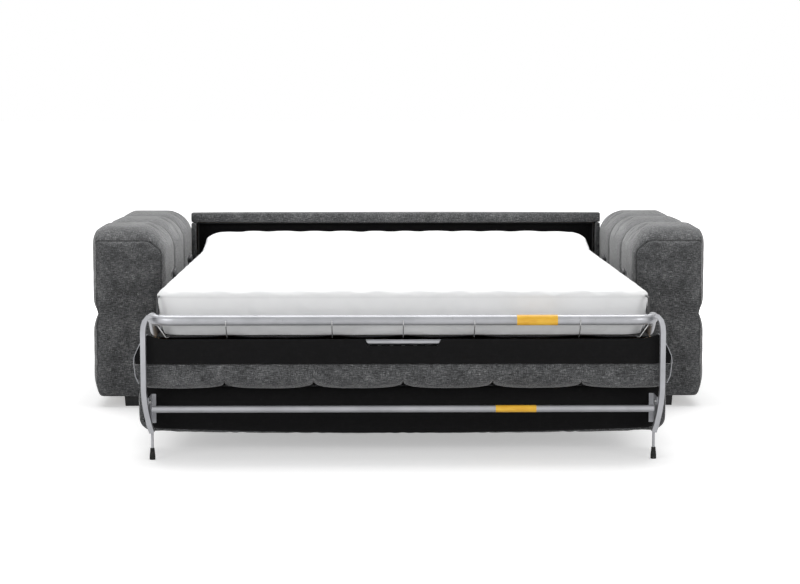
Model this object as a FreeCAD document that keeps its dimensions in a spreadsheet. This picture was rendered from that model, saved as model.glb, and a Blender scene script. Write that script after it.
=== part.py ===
import FreeCAD, Part
import math
import os
import Sketcher

# Sleeper sofa, shown open: two quilted arms, a hollow back, and a two-part steel bed.
# Millimetres, +X to the right seen from the foot, +Y to the back, +Z up, floor at Z = 0.
# Lengths along Y are given from the arms' front plane; FRONT carries them into the row frame.

doc = FreeCAD.newDocument("sleeper_sofa")
sheet = doc.addObject("Spreadsheet::Sheet", "Sizes")

DRIVING = [
    ("overall_width", 2070), ("body_depth", 1100), ("arm_width", 243), ("arm_top", 598),
    ("arm_crown", 10), ("arm_corner", 70), ("arm_padding", 38), ("channel_sink", 14),
    ("floor_gap", 36), ("arm_seam_height", 315), ("front_seam_height", 571), ("panel_board", 18),
    ("back_thick", 81), ("back_top", 602), ("back_rail", 41), ("back_stile", 23),
    ("back_wall", 15), ("lining_sheet", 3),
    ("bed_reach", 997), ("bed_side_gap", 45), ("bed_tube", 30), ("cross_tube", 16),
    ("foot_bar_rise", 106), ("bed_rail_rise", 55), ("bend_radius", 70),
    ("pivot_height", 300), ("hinge_rise", 155), ("hinge_set", 30), ("link_pivot", 600),
    ("head_frame_start", 60), ("head_frame_end", 870), ("foot_frame_start", 62),
    ("deck_sheet", 3), ("mattress_side_gap", 37), ("mattress_head_gap", 31),
    ("mattress_side", 112), ("mattress_crown", 16), ("mattress_corner", 75),
    ("mattress_rise", 46), ("mattress_foot_gap", 35),
    ("pin_radius", 6), ("running_gap", 0.05), ("open_pivot_gap", 0.6), ("plate_steel", 4),
    ("seat_base_drop", 25), ("seat_base_depth", 60), ("seat_base_gap", 5),
    ("seat_side_gap", 12), ("seat_pad_depth", 70), ("seat_end_gap", 17), ("seat_nose", 90),
    ("seat_channels", 6), ("grip_tube", 14), ("grip_window", 210), ("grip_stub", 57),
    ("rest_side_gap", 17), ("rest_low", 52), ("rest_set", 102), ("rest_thick", 140),
    ("rest_corner", 34), ("rest_belly", 12), ("rest_board_side", 40), ("rest_board_set", 4),
    ("cloth_side", 12), ("cloth_corner", 32), ("cloth_low", 18),
    ("leg_width", 18), ("leg_depth", 24), ("leg_wall", 2.5), ("leg_inset", 14),
    ("leg_bend_drop", 80), ("leg_foot_height", 79), ("rod_diameter", 8),
    ("tip_height", 34), ("tip_diameter", 17), ("lower_tube", 20), ("lower_tube_height", 147),
    ("flap_height", 182), ("flap_thick", 28), ("foot_side", 80), ("foot_inset", 105),
    ("hook_wire", 3), ("band_length", 118), ("loop_wire", 5), ("loop_rise", 64),
]


class Size:
    """A length as a sheet expression and its value, so sketches and code share one source."""

    def __init__(self, text, value):
        self.text = text
        self.value = float(value)

    def __add__(self, other):
        other = size(other)
        return Size("(%s + %s)" % (self.text, other.text), self.value + other.value)

    def __sub__(self, other):
        other = size(other)
        return Size("(%s - %s)" % (self.text, other.text), self.value - other.value)

    def __mul__(self, other):
        other = size(other)
        return Size("(%s * %s)" % (self.text, other.text), self.value * other.value)

    def __truediv__(self, other):
        other = size(other)
        return Size("(%s / %s)" % (self.text, other.text), self.value / other.value)

    def __radd__(self, other):
        return size(other) + self

    def __rsub__(self, other):
        return size(other) - self

    def __rmul__(self, other):
        return size(other) * self

    def __neg__(self):
        return Size("(-1 * %s)" % self.text, -self.value)

    def __float__(self):
        return self.value


def size(number):
    """Return a Size for a plain number, and a Size as it is."""
    if isinstance(number, Size):
        return number
    return Size("(%.6f)" % number, number)


sizes = {}
for row, (alias, number) in enumerate(DRIVING, 1):
    sheet.set("A%d" % row, alias)
    sheet.set("B%d" % row, str(number))
    sheet.setAlias("B%d" % row, alias)
    sizes[alias] = Size("Sizes." + alias, number)
doc.recompute()

# The row frame's origin is under the middle of the open sofa's plan.
REACH = sizes["bed_reach"] + sizes["bed_tube"] / 2
FRONT = (REACH - sizes["body_depth"]) / 2

parts = []


def place(obj, x, y, z):
    """Bind an object's place; y is measured from the arms' front plane."""
    x, y, z = size(x), FRONT + y, size(z)
    obj.Placement.Base = FreeCAD.Vector(float(x), float(y), float(z))
    obj.setExpression("Placement.Base.x", x.text)
    obj.setExpression("Placement.Base.y", y.text)
    obj.setExpression("Placement.Base.z", z.text)
    return obj


def name_part(obj, label):
    """Name a finished sub-part and list it for writing."""
    obj.Label = label
    parts.append(obj)
    return obj


def box(label, low, high):
    """Block between two corners."""
    obj = doc.addObject("Part::Box", label)
    for prop, a, b in zip(("Length", "Width", "Height"), low, high):
        span = size(b) - a
        setattr(obj, prop, float(span))
        obj.setExpression(prop, span.text)
    return place(obj, *low)


TURNS = {"x": FreeCAD.Rotation(FreeCAD.Vector(0, 1, 0), 90), "z": FreeCAD.Rotation(),
         "y": FreeCAD.Rotation(FreeCAD.Vector(1, 0, 0), -90)}


def rod(label, start, length, diameter, along="x"):
    """Round bar from its start point along X, Y or Z."""
    obj = doc.addObject("Part::Cylinder", label)
    length, radius = size(length), size(diameter) / 2
    obj.Radius = float(radius)
    obj.Height = float(length)
    obj.setExpression("Radius", radius.text)
    obj.setExpression("Height", length.text)
    obj.Placement.Rotation = TURNS[along]
    return place(obj, *start)


def combine(kind, label, base, tool):
    """Boolean of two objects: Cut, Fuse or Common."""
    obj = doc.addObject("Part::" + kind, label)
    obj.Base = base
    obj.Tool = tool
    return obj


def mirror(source, label):
    """The left-hand copy of a right-hand piece."""
    obj = doc.addObject("Part::Mirroring", label)
    obj.Source = source
    obj.Normal = FreeCAD.Vector(1, 0, 0)
    return obj


def pair(source, label):
    """List a right-hand piece and its mirrored left-hand twin."""
    name_part(source, label + "_right")
    return name_part(mirror(source, label + "_left"), label + "_left")


def group(label, members):
    """Like solids that share one node."""
    obj = doc.addObject("Part::Compound", label)
    obj.Links = members
    return name_part(obj, label)


def twins(source, label):
    """A right-hand piece and its mirrored twin, sharing one node."""
    return group(label, [source, mirror(source, label + "_left_one")])


def draw(sketch, points):
    """Closed outline; a point's third value is the radius of the arc that starts there,
    positive where the arc turns left, and all of it is bound to the sheet."""
    count = len(points)
    flat = [(float(p[0]), float(p[1])) for p in points]
    first = sketch.GeometryCount
    for i, point in enumerate(points):
        a, b = flat[i], flat[(i + 1) % count]
        start, end = FreeCAD.Vector(a[0], a[1], 0), FreeCAD.Vector(b[0], b[1], 0)
        if len(point) < 3:
            sketch.addGeometry(Part.LineSegment(start, end))
            continue
        radius = float(point[2])
        chord = end - start
        side = FreeCAD.Vector(-chord.y, chord.x, 0).normalize()
        lift = math.sqrt(max(radius ** 2 - chord.Length ** 2 / 4, 0))
        centre = (start + end) / 2 + side * math.copysign(lift, radius)
        ends = [math.atan2(q.y - centre.y, q.x - centre.x) for q in (start, end)]
        if radius < 0:
            ends.reverse()
        circle = Part.Circle(centre, FreeCAD.Vector(0, 0, 1), abs(radius))
        sketch.addGeometry(Part.ArcOfCircle(circle, ends[0], ends[1]))

    def tip(i, end):
        """The vertex number of a segment's start (1) or end (2)."""
        turned = len(points[i]) > 2 and float(points[i][2]) < 0
        return 3 - end if turned else end

    for i, point in enumerate(points):
        j = (i + 1) % count
        sketch.addConstraint(Sketcher.Constraint("Coincident", first + i, tip(i, 2), first + j, tip(j, 1)))
        for kind, value in (("DistanceX", size(point[0])), ("DistanceY", size(point[1]))):
            rule = sketch.addConstraint(
                Sketcher.Constraint(kind, -1, 1, first + i, tip(i, 1), value.value))
            sketch.setExpression("Constraints[%d]" % rule, value.text)
        if len(point) > 2:
            radius = size(point[2])
            radius = radius if radius.value > 0 else -radius
            rule = sketch.addConstraint(Sketcher.Constraint("Radius", first + i, radius.value))
            sketch.setExpression("Constraints[%d]" % rule, radius.text)


def round_hole(sketch, u, v, radius):
    """Circle in a sketch, bound to the sheet."""
    u, v, radius = size(u), size(v), size(radius)
    centre = FreeCAD.Vector(u.value, v.value, 0)
    made = sketch.addGeometry(Part.Circle(centre, FreeCAD.Vector(0, 0, 1), radius.value))
    for kind, args, value in (("DistanceX", (-1, 1, made, 3), u), ("DistanceY", (-1, 1, made, 3), v),
                              ("Radius", (made,), radius)):
        rule = sketch.addConstraint(Sketcher.Constraint(kind, *args, value.value))
        sketch.setExpression("Constraints[%d]" % rule, value.text)


def new_sketch(body, name, role):
    """Sketch on one of a body's own origin planes."""
    sketch = body.newObject("Sketcher::SketchObject", name)
    plane = [o for o in body.Origin.OriginFeatures if o.Role == role][0]
    sketch.AttachmentSupport = [(plane, "")]
    sketch.MapMode = "FlatFace"
    return sketch


def padded_body(label, role, points, length, at=(0, 0, 0), holes=()):
    """Body with one outline on an origin plane, padded towards +X, +Y or +Z."""
    body = doc.addObject("PartDesign::Body", label)
    sketch = new_sketch(body, label + "_outline", role)
    draw(sketch, points)
    for hole in holes:
        round_hole(sketch, *hole)
    pad = body.newObject("PartDesign::Pad", label + "_pad")
    pad.Profile = sketch
    pad.Length = float(length)
    pad.setExpression("Length", size(length).text)
    pad.Reversed = role == "XZ_Plane"
    place(body, *at)
    return body


def turned_pin(label, y, z, steps):
    """Stepped pin along X, revolved from (x, radius) steps."""
    body = doc.addObject("PartDesign::Body", label)
    sketch = new_sketch(body, label + "_outline", "XY_Plane")
    points = [(steps[0][0], 0)]
    for (x0, radius), (x1, _) in zip(steps, steps[1:]):
        points += [(x0, radius), (x1, radius)]
    points.append((steps[-1][0], 0))
    draw(sketch, points)
    turn = body.newObject("PartDesign::Revolution", label + "_turn")
    turn.Profile = sketch
    turn.ReferenceAxis = ([o for o in body.Origin.OriginFeatures if o.Role == "X_Axis"][0], [""])
    turn.Angle = 360
    place(body, 0, y, z)
    return body


def bent_wire(points, radii):
    """Runs joined by tangent arcs, one radius for each inner point."""
    edges = []
    here = points[0]
    for corner, after, radius in zip(points[1:-1], points[2:], radii):
        into, out = (corner - here).normalize(), (after - corner).normalize()
        turn = into.getAngle(out)
        reach = radius * math.tan(turn / 2)
        start, end = corner - into * reach, corner + out * reach
        middle = corner + (out - into).normalize() * (radius / math.cos(turn / 2) - radius)
        edges += [Part.LineSegment(here, start).toShape(), Part.Arc(start, middle, end).toShape()]
        here = end
    edges.append(Part.LineSegment(here, points[-1]).toShape())
    return Part.Wire(edges)


def bent_tube(label, points, radii, diameter):
    """Round bar swept along a bent path; no origin plane holds such a path."""
    nodes = [FreeCAD.Vector(*[float(c) for c in p]) for p in points]
    path = bent_wire(nodes, [float(r) for r in radii])
    across = (nodes[1] - nodes[0]).normalize()
    ring = Part.Wire([Part.Circle(nodes[0], across, float(diameter) / 2).toShape()])
    obj = doc.addObject("Part::Feature", label)
    obj.Shape = path.makePipeShell([ring], True, False)
    return place(obj, 0, 0, 0)


S = type("Sizes", (), sizes)
HALF = S.overall_width / 2
INNER = HALF - S.arm_width
bed_half = INNER - S.bed_side_gap
seat_base_half = bed_half - S.seat_base_gap
seat_half = INNER - S.seat_side_gap
seat_end = S.bed_reach - S.seat_end_gap
back_front = S.body_depth - S.back_thick


# Arms

def arm_section():
    """Outline across an arm: pinched at the side seam, rounded into the seat."""
    low, seam, top = S.floor_gap, S.arm_seam_height, S.arm_top + S.arm_crown - 4
    outer = S.arm_width
    side = size(620)
    return [(INNER, low), (INNER + outer - 20, low, side), (INNER + outer - 12, seam, side),
            (INNER + outer - 13, top - 20, 24), (INNER + outer - 31, top, size(420)),
            (INNER + S.arm_corner, top, S.arm_corner), (INNER, top - S.arm_corner)]


def scallop(span, rise):
    """Radius of an arc over a span with a given rise."""
    return (span * span / 4 + rise * rise) / (2 * rise)


depth = S.body_depth
third = depth / 3
crest = scallop(third, S.channel_sink)
top_line = S.arm_top + S.arm_crown

arm_across = padded_body("arm_across", "XZ_Plane", arm_section(), depth)
arm_along = padded_body("arm_along", "YZ_Plane", [
    (6, S.floor_gap), (depth - 6, S.floor_gap), (depth, S.arm_top - 40, 40),
    (depth - 40, top_line - S.channel_sink, scallop(third - 40, S.channel_sink)),
    (depth * 2 / 3, top_line - S.channel_sink, crest), (third, top_line - S.channel_sink,
                                                        scallop(third - 45, S.channel_sink)),
    (45, top_line - S.channel_sink, 48), (0, S.front_seam_height - 14)],
    S.arm_width + 40, at=(INNER - 20, 0, 0))
arm_plan = padded_body("arm_plan", "XY_Plane", [
    (INNER, 0), (HALF - S.channel_sink, 0, crest), (HALF - S.channel_sink, third, crest),
    (HALF - S.channel_sink, third * 2, crest), (HALF - S.channel_sink, depth), (INNER, depth)],
    S.arm_top + 60)
arm_form = combine("Common", "arm_form", combine("Common", "arm_two_way", arm_across, arm_along), arm_plan)
hollow_low = (INNER + S.arm_padding, S.arm_padding, S.floor_gap)
hollow_high = (HALF - S.arm_padding - 10, depth - S.arm_padding, S.arm_top - S.arm_padding)
arm_cover = combine("Cut", "arm_cover", arm_form, box("arm_hollow", hollow_low, hollow_high))
arm_carcass = combine("Cut", "arm_carcass", box("arm_case", hollow_low, hollow_high), box(
    "arm_void", [a + S.panel_board for a in hollow_low[:2]] + [S.floor_gap + S.panel_board],
    [a - S.panel_board for a in hollow_high]))
pair(arm_cover, "arm_cover")
pair(arm_carcass, "arm_frame")

# Feet under the arms

foot_x = HALF - S.foot_inset - S.foot_side
feet = []
for where, y in (("front", size(32)), ("rear", depth - 32 - S.foot_side)):
    foot = doc.addObject("PartDesign::Body", "foot_" + where)
    outline = new_sketch(foot, "foot_outline_" + where, "XY_Plane")
    draw(outline, [(0, 0), (S.foot_side, 0), (S.foot_side, S.foot_side), (0, S.foot_side)])
    pad = foot.newObject("PartDesign::Pad", "foot_pad_" + where)
    pad.Profile = outline
    pad.setExpression("Length", S.floor_gap.text)
    pad.TaperAngle = 4
    place(foot, foot_x, y, 0)
    feet += [foot, mirror(foot, "foot_left_" + where)]
group("feet", feet)

# Back: a padded frame round a black-lined recess

recess_half = INNER - S.back_stile
recess_top = S.back_top - S.back_rail
board_face = depth - S.back_wall - S.panel_board
back_low = S.floor_gap + 12
back_outer = padded_body("back_outer", "YZ_Plane", [
    (back_front, back_low), (depth, back_low), (depth, S.back_top - 26, 26),
    (depth - 26, S.back_top), (back_front + 12, S.back_top, 12), (back_front, S.back_top - 12)],
    INNER * 2, at=(-INNER, 0, 0))
back_hole = box("back_hole", (-recess_half, back_front - 5, back_low - 5),
                (recess_half, depth - S.back_wall, recess_top))
name_part(combine("Cut", "back_cut", back_outer, back_hole), "back_cover")
name_part(box("back_board_block", (-recess_half, board_face, back_low),
              (recess_half, depth - S.back_wall, recess_top)), "back_board")
lining_in = recess_half - S.lining_sheet
name_part(combine("Cut", "back_lining_cut", box(
    "back_lining_outer", (-recess_half, back_front + 3, back_low),
    (recess_half, board_face, recess_top)), box(
    "back_lining_inner", (-lining_in, back_front - 2, back_low - 5),
    (lining_in, board_face - S.lining_sheet, recess_top - S.lining_sheet))), "back_lining")

# Base bars between the arms, bolted up under them

for where, y in (("front", size(150)), ("rear", depth - 260)):
    bar = box("bar_strip_" + where, (-INNER - 90, y, 11), (INNER + 90, y + 40, 26))
    right = box("base_pad_" + where, (INNER + 8, y, 26), (INNER + 80, y + 40, S.floor_gap))
    both = combine("Fuse", "base_pads_" + where, right, mirror(right, "base_pad_left_" + where))
    name_part(combine("Fuse", "base_bar_whole_" + where, bar, both), "base_bar_" + where)

# Pivot geometry, shared by both sides

swing_in = bed_half + 9
swing_out = swing_in + S.plate_steel
wall_in = INNER - S.plate_steel
hinge_y = -S.hinge_set
hinge_z = S.pivot_height + S.hinge_rise
upper_y = S.link_pivot - S.hinge_set
bearing = S.pin_radius + S.running_gap
eye = S.pin_radius + 13

wall_plate = padded_body("wall_plate", "YZ_Plane", [
    (0, S.pivot_height - eye), (S.link_pivot, S.pivot_height - eye, eye),
    (S.link_pivot + eye, S.pivot_height, eye), (S.link_pivot, S.pivot_height + eye),
    (0, S.pivot_height + eye, eye), (-eye, S.pivot_height, eye)],
    S.plate_steel, at=(wall_in, 0, 0),
    holes=[(0, S.pivot_height, S.pin_radius), (S.link_pivot, S.pivot_height, S.pin_radius)])
pair(wall_plate, "wall_plate")

fixed_steps = [(swing_in - 3.8, S.pin_radius + 3), (swing_in - 0.2, S.pin_radius),
               (swing_out + 0.2, S.pin_radius + 4), (wall_in, S.pin_radius), (INNER, 0)]
moving_steps = [(bed_half, S.pin_radius), (bed_half + S.plate_steel, S.pin_radius + 3),
                (swing_in - 0.2, S.pin_radius), (swing_out + 0.2, S.pin_radius + 3),
                (swing_out + 3, 0)]
twins(turned_pin("main_pin_turned", 0, S.pivot_height, fixed_steps), "main_pins")
twins(turned_pin("link_pin_turned", S.link_pivot, S.pivot_height, fixed_steps), "link_pins")
twins(turned_pin("fold_pin_turned", hinge_y, hinge_z, moving_steps), "fold_pins")
twins(turned_pin("guide_pin_turned", upper_y, hinge_z, moving_steps), "guide_pins")

heads = []
for number, part_way in enumerate((0.2, 0.5, 0.8)):
    head = turned_pin("plate_screw_%d" % number, S.link_pivot * part_way, S.pivot_height,
                      [(wall_in - 2.5, 4), (wall_in - 1.5, 6), (wall_in, 0)])
    heads += [head, mirror(head, "plate_screw_left_%d" % number)]
group("wall_plate_screws", heads)

# Links that keep the head half level

link = padded_body("guide_link", "YZ_Plane", [
    (S.link_pivot - eye, S.pivot_height, eye), (S.link_pivot, S.pivot_height - eye, eye),
    (S.link_pivot + eye, S.pivot_height), (upper_y + eye, hinge_z, eye),
    (upper_y, hinge_z + eye, eye), (upper_y - eye, hinge_z)],
    S.plate_steel, at=(swing_in, 0, 0),
    holes=[(S.link_pivot, S.pivot_height, bearing),
           (upper_y, hinge_z, S.pin_radius + S.open_pivot_gap)])
pair(link, "guide_link")

# Foot half: frame, swing plates, cross tube and deck

tube_half = bed_half - S.bed_tube / 2
rail_z, bar_z = S.pivot_height + S.bed_rail_rise, S.pivot_height + S.foot_bar_rise
bend_y = -S.bed_reach + 162
lift_y = -S.bed_reach + 92
right_side = [(tube_half, -S.foot_frame_start, rail_z), (tube_half, bend_y, rail_z),
              (tube_half, lift_y, bar_z), (tube_half, -S.bed_reach, bar_z)]
left_side = [(-x, y, z) for x, y, z in reversed(right_side)]
foot_tube = bent_tube("foot_frame_tube", right_side + left_side,
                      [60, 60, S.bend_radius, S.bend_radius, 60, 60], S.bed_tube)
bar_face = -S.bed_reach - S.bed_tube / 2
wire = S.hook_wire
mat_half = bed_half - S.mattress_side_gap
hook_places = [mat_half * share for share in (-0.72, -0.29, 0, 0.29, 0.72)]
hook_holes = doc.addObject("Part::Compound", "hook_holes")
hook_holes.Links = [rod("hook_hole_%d" % number, (x, bar_face - 1, bar_z), 7, wire + 1.4, "y")
                    for number, x in enumerate(hook_places)]
foot_frame = name_part(combine("Cut", "foot_tube_drilled", foot_tube, hook_holes), "foot_frame")
inner_rail = tube_half - S.bed_tube / 2
deck_low = rail_z - S.deck_sheet / 2
cross_z = deck_low - S.cross_tube / 2


def coped_tube(label, y, frame):
    """Cross tube under the deck, its ends coped round the frame's rails."""
    plain = rod(label + "_plain", (-tube_half, y, cross_z), tube_half * 2, S.cross_tube)
    return name_part(combine("Cut", label + "_coped", plain, frame), label)


coped_tube("foot_cross_tube", -S.foot_frame_start - 22, foot_frame)
deck_high = rail_z + S.deck_sheet / 2
foot_edge = S.bed_reach - S.mattress_foot_gap
name_part(box("foot_deck_sheet", (-inner_rail, -foot_edge, deck_low),
              (inner_rail, -S.foot_frame_start - 36, deck_high)), "foot_deck")

swing_plate = padded_body("swing_plate", "YZ_Plane", [
    (-300, rail_z - 12), (-eye - 40, rail_z - 12), (-eye, S.pivot_height, eye),
    (0, S.pivot_height - eye, eye), (eye, S.pivot_height), (hinge_y + eye, hinge_z, eye),
    (hinge_y, hinge_z + eye, eye), (hinge_y - eye, hinge_z), (hinge_y - 95, rail_z + 14),
    (-300, rail_z + 14)], S.plate_steel, at=(swing_in, 0, 0),
    holes=[(0, S.pivot_height, bearing), (hinge_y, hinge_z, bearing)])
pair(swing_plate, "swing_plate")
plate_bolts = []
for number, y in enumerate((-280, -150)):
    bolt = rod("plate_bolt_%d" % number, (bed_half, y, rail_z), 9, 16)
    plate_bolts += [bolt, mirror(bolt, "plate_bolt_left_%d" % number)]
group("swing_plate_spacers", plate_bolts)

# Wire hooks from holes in the foot bar's face, down and back to the deck's end

hooks = []
hook_y = bar_face - wire * 0.7
hook_z = deck_low - wire / 2
for number, x in enumerate(hook_places):
    route = [(x, bar_face + 3, bar_z), (x, hook_y, bar_z), (x, hook_y, bar_z - 13),
             (x, -foot_edge - 5, hook_z), (x, -foot_edge + 16, hook_z)]
    hooks.append(bent_tube("deck_hook_%d" % number, route, [wire * 0.6, 9, 4], wire))
group("deck_hooks", hooks)

# Corner hooks that hold the deck to the bent tube, and loops that keep the mattress in place

under_bar = bar_z - S.bed_tube / 2 - wire / 2 - 0.2
corner_set = S.bend_radius * (1 - math.sqrt(0.5))
corner_hook = bent_tube("deck_corner_wire", [
    (tube_half - 60, -foot_edge + 18, hook_z), (tube_half - 44, -foot_edge - 5, hook_z),
    (tube_half - corner_set, -S.bed_reach + corner_set, under_bar),
    (tube_half - corner_set + 9, -S.bed_reach + corner_set - 9, under_bar)], [6, 5], wire)
twins(corner_hook, "deck_corner_hooks")
loop_top = bar_z + S.loop_rise
loop_foot = bar_z + S.bed_tube / 2 + 0.2
loop_x = tube_half - S.bed_tube / 2 - S.loop_wire / 2 - 0.2
loop = bent_tube("mattress_loop_wire", [
    (tube_half - corner_set, -S.bed_reach + corner_set, loop_foot),
    (loop_x - 3, -S.bed_reach + corner_set + 3, loop_top), (loop_x - 3, lift_y - 20, loop_top),
    (loop_x, lift_y - 16, bar_z)], [14, 14], S.loop_wire)
twins(loop, "mattress_loops")

# Head half: frame, ears, brackets and deck

head_side = [(tube_half, S.head_frame_start, rail_z), (tube_half, S.head_frame_end - 15, rail_z)]
head_frame = name_part(bent_tube(
    "head_frame_tube", head_side + [(-x, y, z) for x, y, z in reversed(head_side)],
    [S.bend_radius, S.bend_radius], S.bed_tube), "head_frame")
coped_tube("head_cross_tube", S.head_frame_start + 22, head_frame)
head_bar = S.head_frame_end - S.bed_tube / 2
deck_end = head_bar - 30
bend_start = head_bar - S.bend_radius
deck_start = S.head_frame_start + 36
name_part(padded_body("head_deck_sheet", "XY_Plane", [
    (-inner_rail, deck_start), (inner_rail, deck_start), (inner_rail, bend_start),
    (inner_rail - 45, deck_end), (-inner_rail + 45, deck_end), (-inner_rail, bend_start)],
    S.deck_sheet, at=(0, 0, deck_low)), "head_deck")
fold_ear = padded_body("fold_ear", "YZ_Plane", [
    (hinge_y - eye, hinge_z, eye), (hinge_y + eye * 0.6, hinge_z - eye * 0.8),
    (S.head_frame_start + 60, rail_z - 12), (S.head_frame_start + 170, rail_z - 12),
    (S.head_frame_start + 170, rail_z + 14), (hinge_y + eye * 0.8, hinge_z + eye * 0.6, eye)],
    S.plate_steel, at=(bed_half, 0, 0), holes=[(hinge_y, hinge_z, S.pin_radius)])
pair(fold_ear, "fold_ear")
guide_bracket = padded_body("guide_bracket", "YZ_Plane", [
    (upper_y - eye - 22, rail_z - 12), (upper_y + eye + 22, rail_z - 12), (upper_y + eye, hinge_z, eye),
    (upper_y, hinge_z + eye, eye), (upper_y - eye, hinge_z)], S.plate_steel, at=(bed_half, 0, 0),
    holes=[(upper_y, hinge_z, S.pin_radius)])
pair(guide_bracket, "guide_bracket")

# Mattress, in two halves that meet at the fold

mat_low = deck_high
mat_side = mat_low + S.mattress_side
mat_end = back_front - S.mattress_head_gap
corner = S.mattress_corner
mat_shoulder = mat_side + S.mattress_crown / 2
mattress_outline = [
    (-mat_half + 8, mat_low), (mat_half - 8, mat_low, size(240)), (mat_half - 8, mat_side, 60),
    (mat_half - 45, mat_shoulder, size(24000)), (-mat_half + 45, mat_shoulder, 60),
    (-mat_half + 8, mat_side, size(240))]
stations = []
for number, (y, lift) in enumerate((
        (-foot_edge - 5, 0), (head_bar - 215, 0), (head_bar - 20, S.mattress_rise / 2),
        (mat_end + 5, S.mattress_rise))):
    station = doc.addObject("Sketcher::SketchObject", "mattress_station_%d" % number)
    draw(station, mattress_outline)
    station.Placement.Rotation = FreeCAD.Rotation(FreeCAD.Vector(1, 0, 0), 90)
    stations.append(place(station, 0, y, lift))
mattress_length = doc.addObject("Part::Loft", "mattress_lengthways")
mattress_length.Sections = stations
mattress_length.Solid = True
mattress_length.Ruled = True
mattress_along = padded_body("mattress_along", "YZ_Plane", [
    (-foot_edge + 6, mat_low), (head_bar - 215, mat_low), (head_bar - 20, rail_z + S.bed_tube / 2 + 1),
    (mat_end - 8, mat_low + S.mattress_rise), (mat_end, mat_side + S.mattress_rise - 45, 55),
    (mat_end - 50, mat_side + S.mattress_rise + 8), (-foot_edge + 50, mat_side + S.mattress_rise + 8),
    (-foot_edge + 50, mat_side + S.mattress_crown + 6, 70), (-foot_edge, mat_side - 6, size(260))],
    mat_half * 2 + 20, at=(-mat_half - 10, 0, 0))
mattress_plan = padded_body("mattress_plan", "XY_Plane", [
    (-mat_half + corner, -foot_edge), (mat_half - corner, -foot_edge, corner),
    (mat_half, -foot_edge + corner), (mat_half, mat_end - corner, corner),
    (mat_half - corner, mat_end), (-mat_half + corner, mat_end, corner),
    (-mat_half, mat_end - corner), (-mat_half, -foot_edge + corner, corner)], S.arm_top)
mattress = combine("Common", "mattress_form", combine(
    "Common", "mattress_block", mattress_plan, mattress_along), mattress_length)
name_part(combine("Common", "mattress_foot_half", mattress, box(
    "foot_half_space", (-HALF, -foot_edge - 20, 0), (HALF, hinge_y, S.arm_top))), "mattress_foot")
name_part(combine("Common", "mattress_head_half", mattress, box(
    "head_half_space", (-HALF, hinge_y, 0), (HALF, mat_end + 20, S.arm_top + 40))), "mattress_head")

# Legs under the foot bar

leg_y = -S.bed_reach - S.leg_depth / 2 + 2
leg_out = bed_half + 4
leg_in = leg_out - S.leg_width
low_out = leg_out - S.leg_inset
low_in = leg_in - S.leg_inset
bar_top = bar_z + S.bed_tube / 2
bend_z, foot_z = S.pivot_height - S.leg_bend_drop, S.leg_foot_height
leg_bend = size(760)
leg = doc.addObject("PartDesign::Body", "leg_channel")
leg_outline = new_sketch(leg, "leg_outline", "XZ_Plane")
draw(leg_outline, [
    (low_in, foot_z), (low_out, foot_z, leg_bend), (leg_out, bend_z), (leg_out, bar_top - 8, 12),
    (leg_out - 12, bar_top + 4), (leg_in - 38, bar_top + 4), (leg_in - 38, bar_top + 0.2),
    (leg_in, bar_top + 0.2), (leg_in, bend_z, -leg_bend)])
leg_pad = leg.newObject("PartDesign::Pad", "leg_pad")
leg_pad.Profile = leg_outline
leg_pad.setExpression("Length", S.leg_depth.text)
leg_pad.Reversed = True
leg_groove = new_sketch(leg, "leg_groove", "XZ_Plane")
wall = S.leg_wall
draw(leg_groove, [
    (low_in + wall, foot_z + wall), (low_out - wall, foot_z + wall, leg_bend), (leg_out - wall, bend_z),
    (leg_out - wall, bar_z + 4), (leg_in + wall, bar_z + 4), (leg_in + wall, bend_z, -leg_bend)])
leg_cut = leg.newObject("PartDesign::Pocket", "leg_cut")
leg_cut.Profile = leg_groove
leg_cut.setExpression("Length", (S.leg_depth - wall).text)
leg_cut.Reversed = False
place(leg, 0, leg_y, 0)
pair(leg, "leg")

rod_x = (low_in + low_out) / 2
rod_y = leg_y + S.leg_depth / 2
twins(rod("leg_rod_bar", (rod_x, rod_y, S.tip_height - 14), foot_z - S.tip_height + 14, S.rod_diameter, "z"),
     "leg_rods")
tip = doc.addObject("PartDesign::Body", "leg_tip_body")
tip_sketch = new_sketch(tip, "tip_outline", "XZ_Plane")
tip_r = S.tip_diameter / 2
rod_r = S.rod_diameter / 2
draw(tip_sketch, [(0, 0), (tip_r, 0), (tip_r, 10), (rod_r + 2, S.tip_height), (rod_r, S.tip_height),
                  (rod_r, S.tip_height - 14), (0, S.tip_height - 14)])
tip_turn = tip.newObject("PartDesign::Revolution", "tip_turn")
tip_turn.Profile = tip_sketch
tip_turn.ReferenceAxis = ([o for o in tip.Origin.OriginFeatures if o.Role == "Z_Axis"][0], [""])
place(tip, rod_x, rod_y, 0)
twins(tip, "leg_tips")

share = (S.lower_tube_height - foot_z).value / (bend_z - foot_z).value
meet = low_in + S.leg_inset * (share ** 0.5) * 0.93
name_part(rod("lower_tube", (0.4 - meet, rod_y, S.lower_tube_height), meet * 2 - 0.8, S.lower_tube),
          "lower_cross_tube")

# Plain film bands on the near side of the two cross tubes

bands = []
for label, x, z, tube in (("upper", 328, bar_z, S.bed_tube), ("lower", 268, S.lower_tube_height,
                                                              S.lower_tube)):
    y = -S.bed_reach if label == "upper" else rod_y
    sleeve = rod("band_sleeve_" + label, (x, y, z), S.band_length, tube + 0.8)
    core = rod("band_core_" + label, (x - 5, y, z), S.band_length + 10, tube)
    film = combine("Cut", "band_ring_" + label, sleeve, core)
    front_side = box("band_front_" + label, (x - 5, y - tube, z - tube), (x + S.band_length + 5, y + 4, z + tube))
    bands.append(combine("Common", "band_" + label, film, front_side))
group("plain_bands", bands)

# Seat, hung upside down under the foot half

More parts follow.
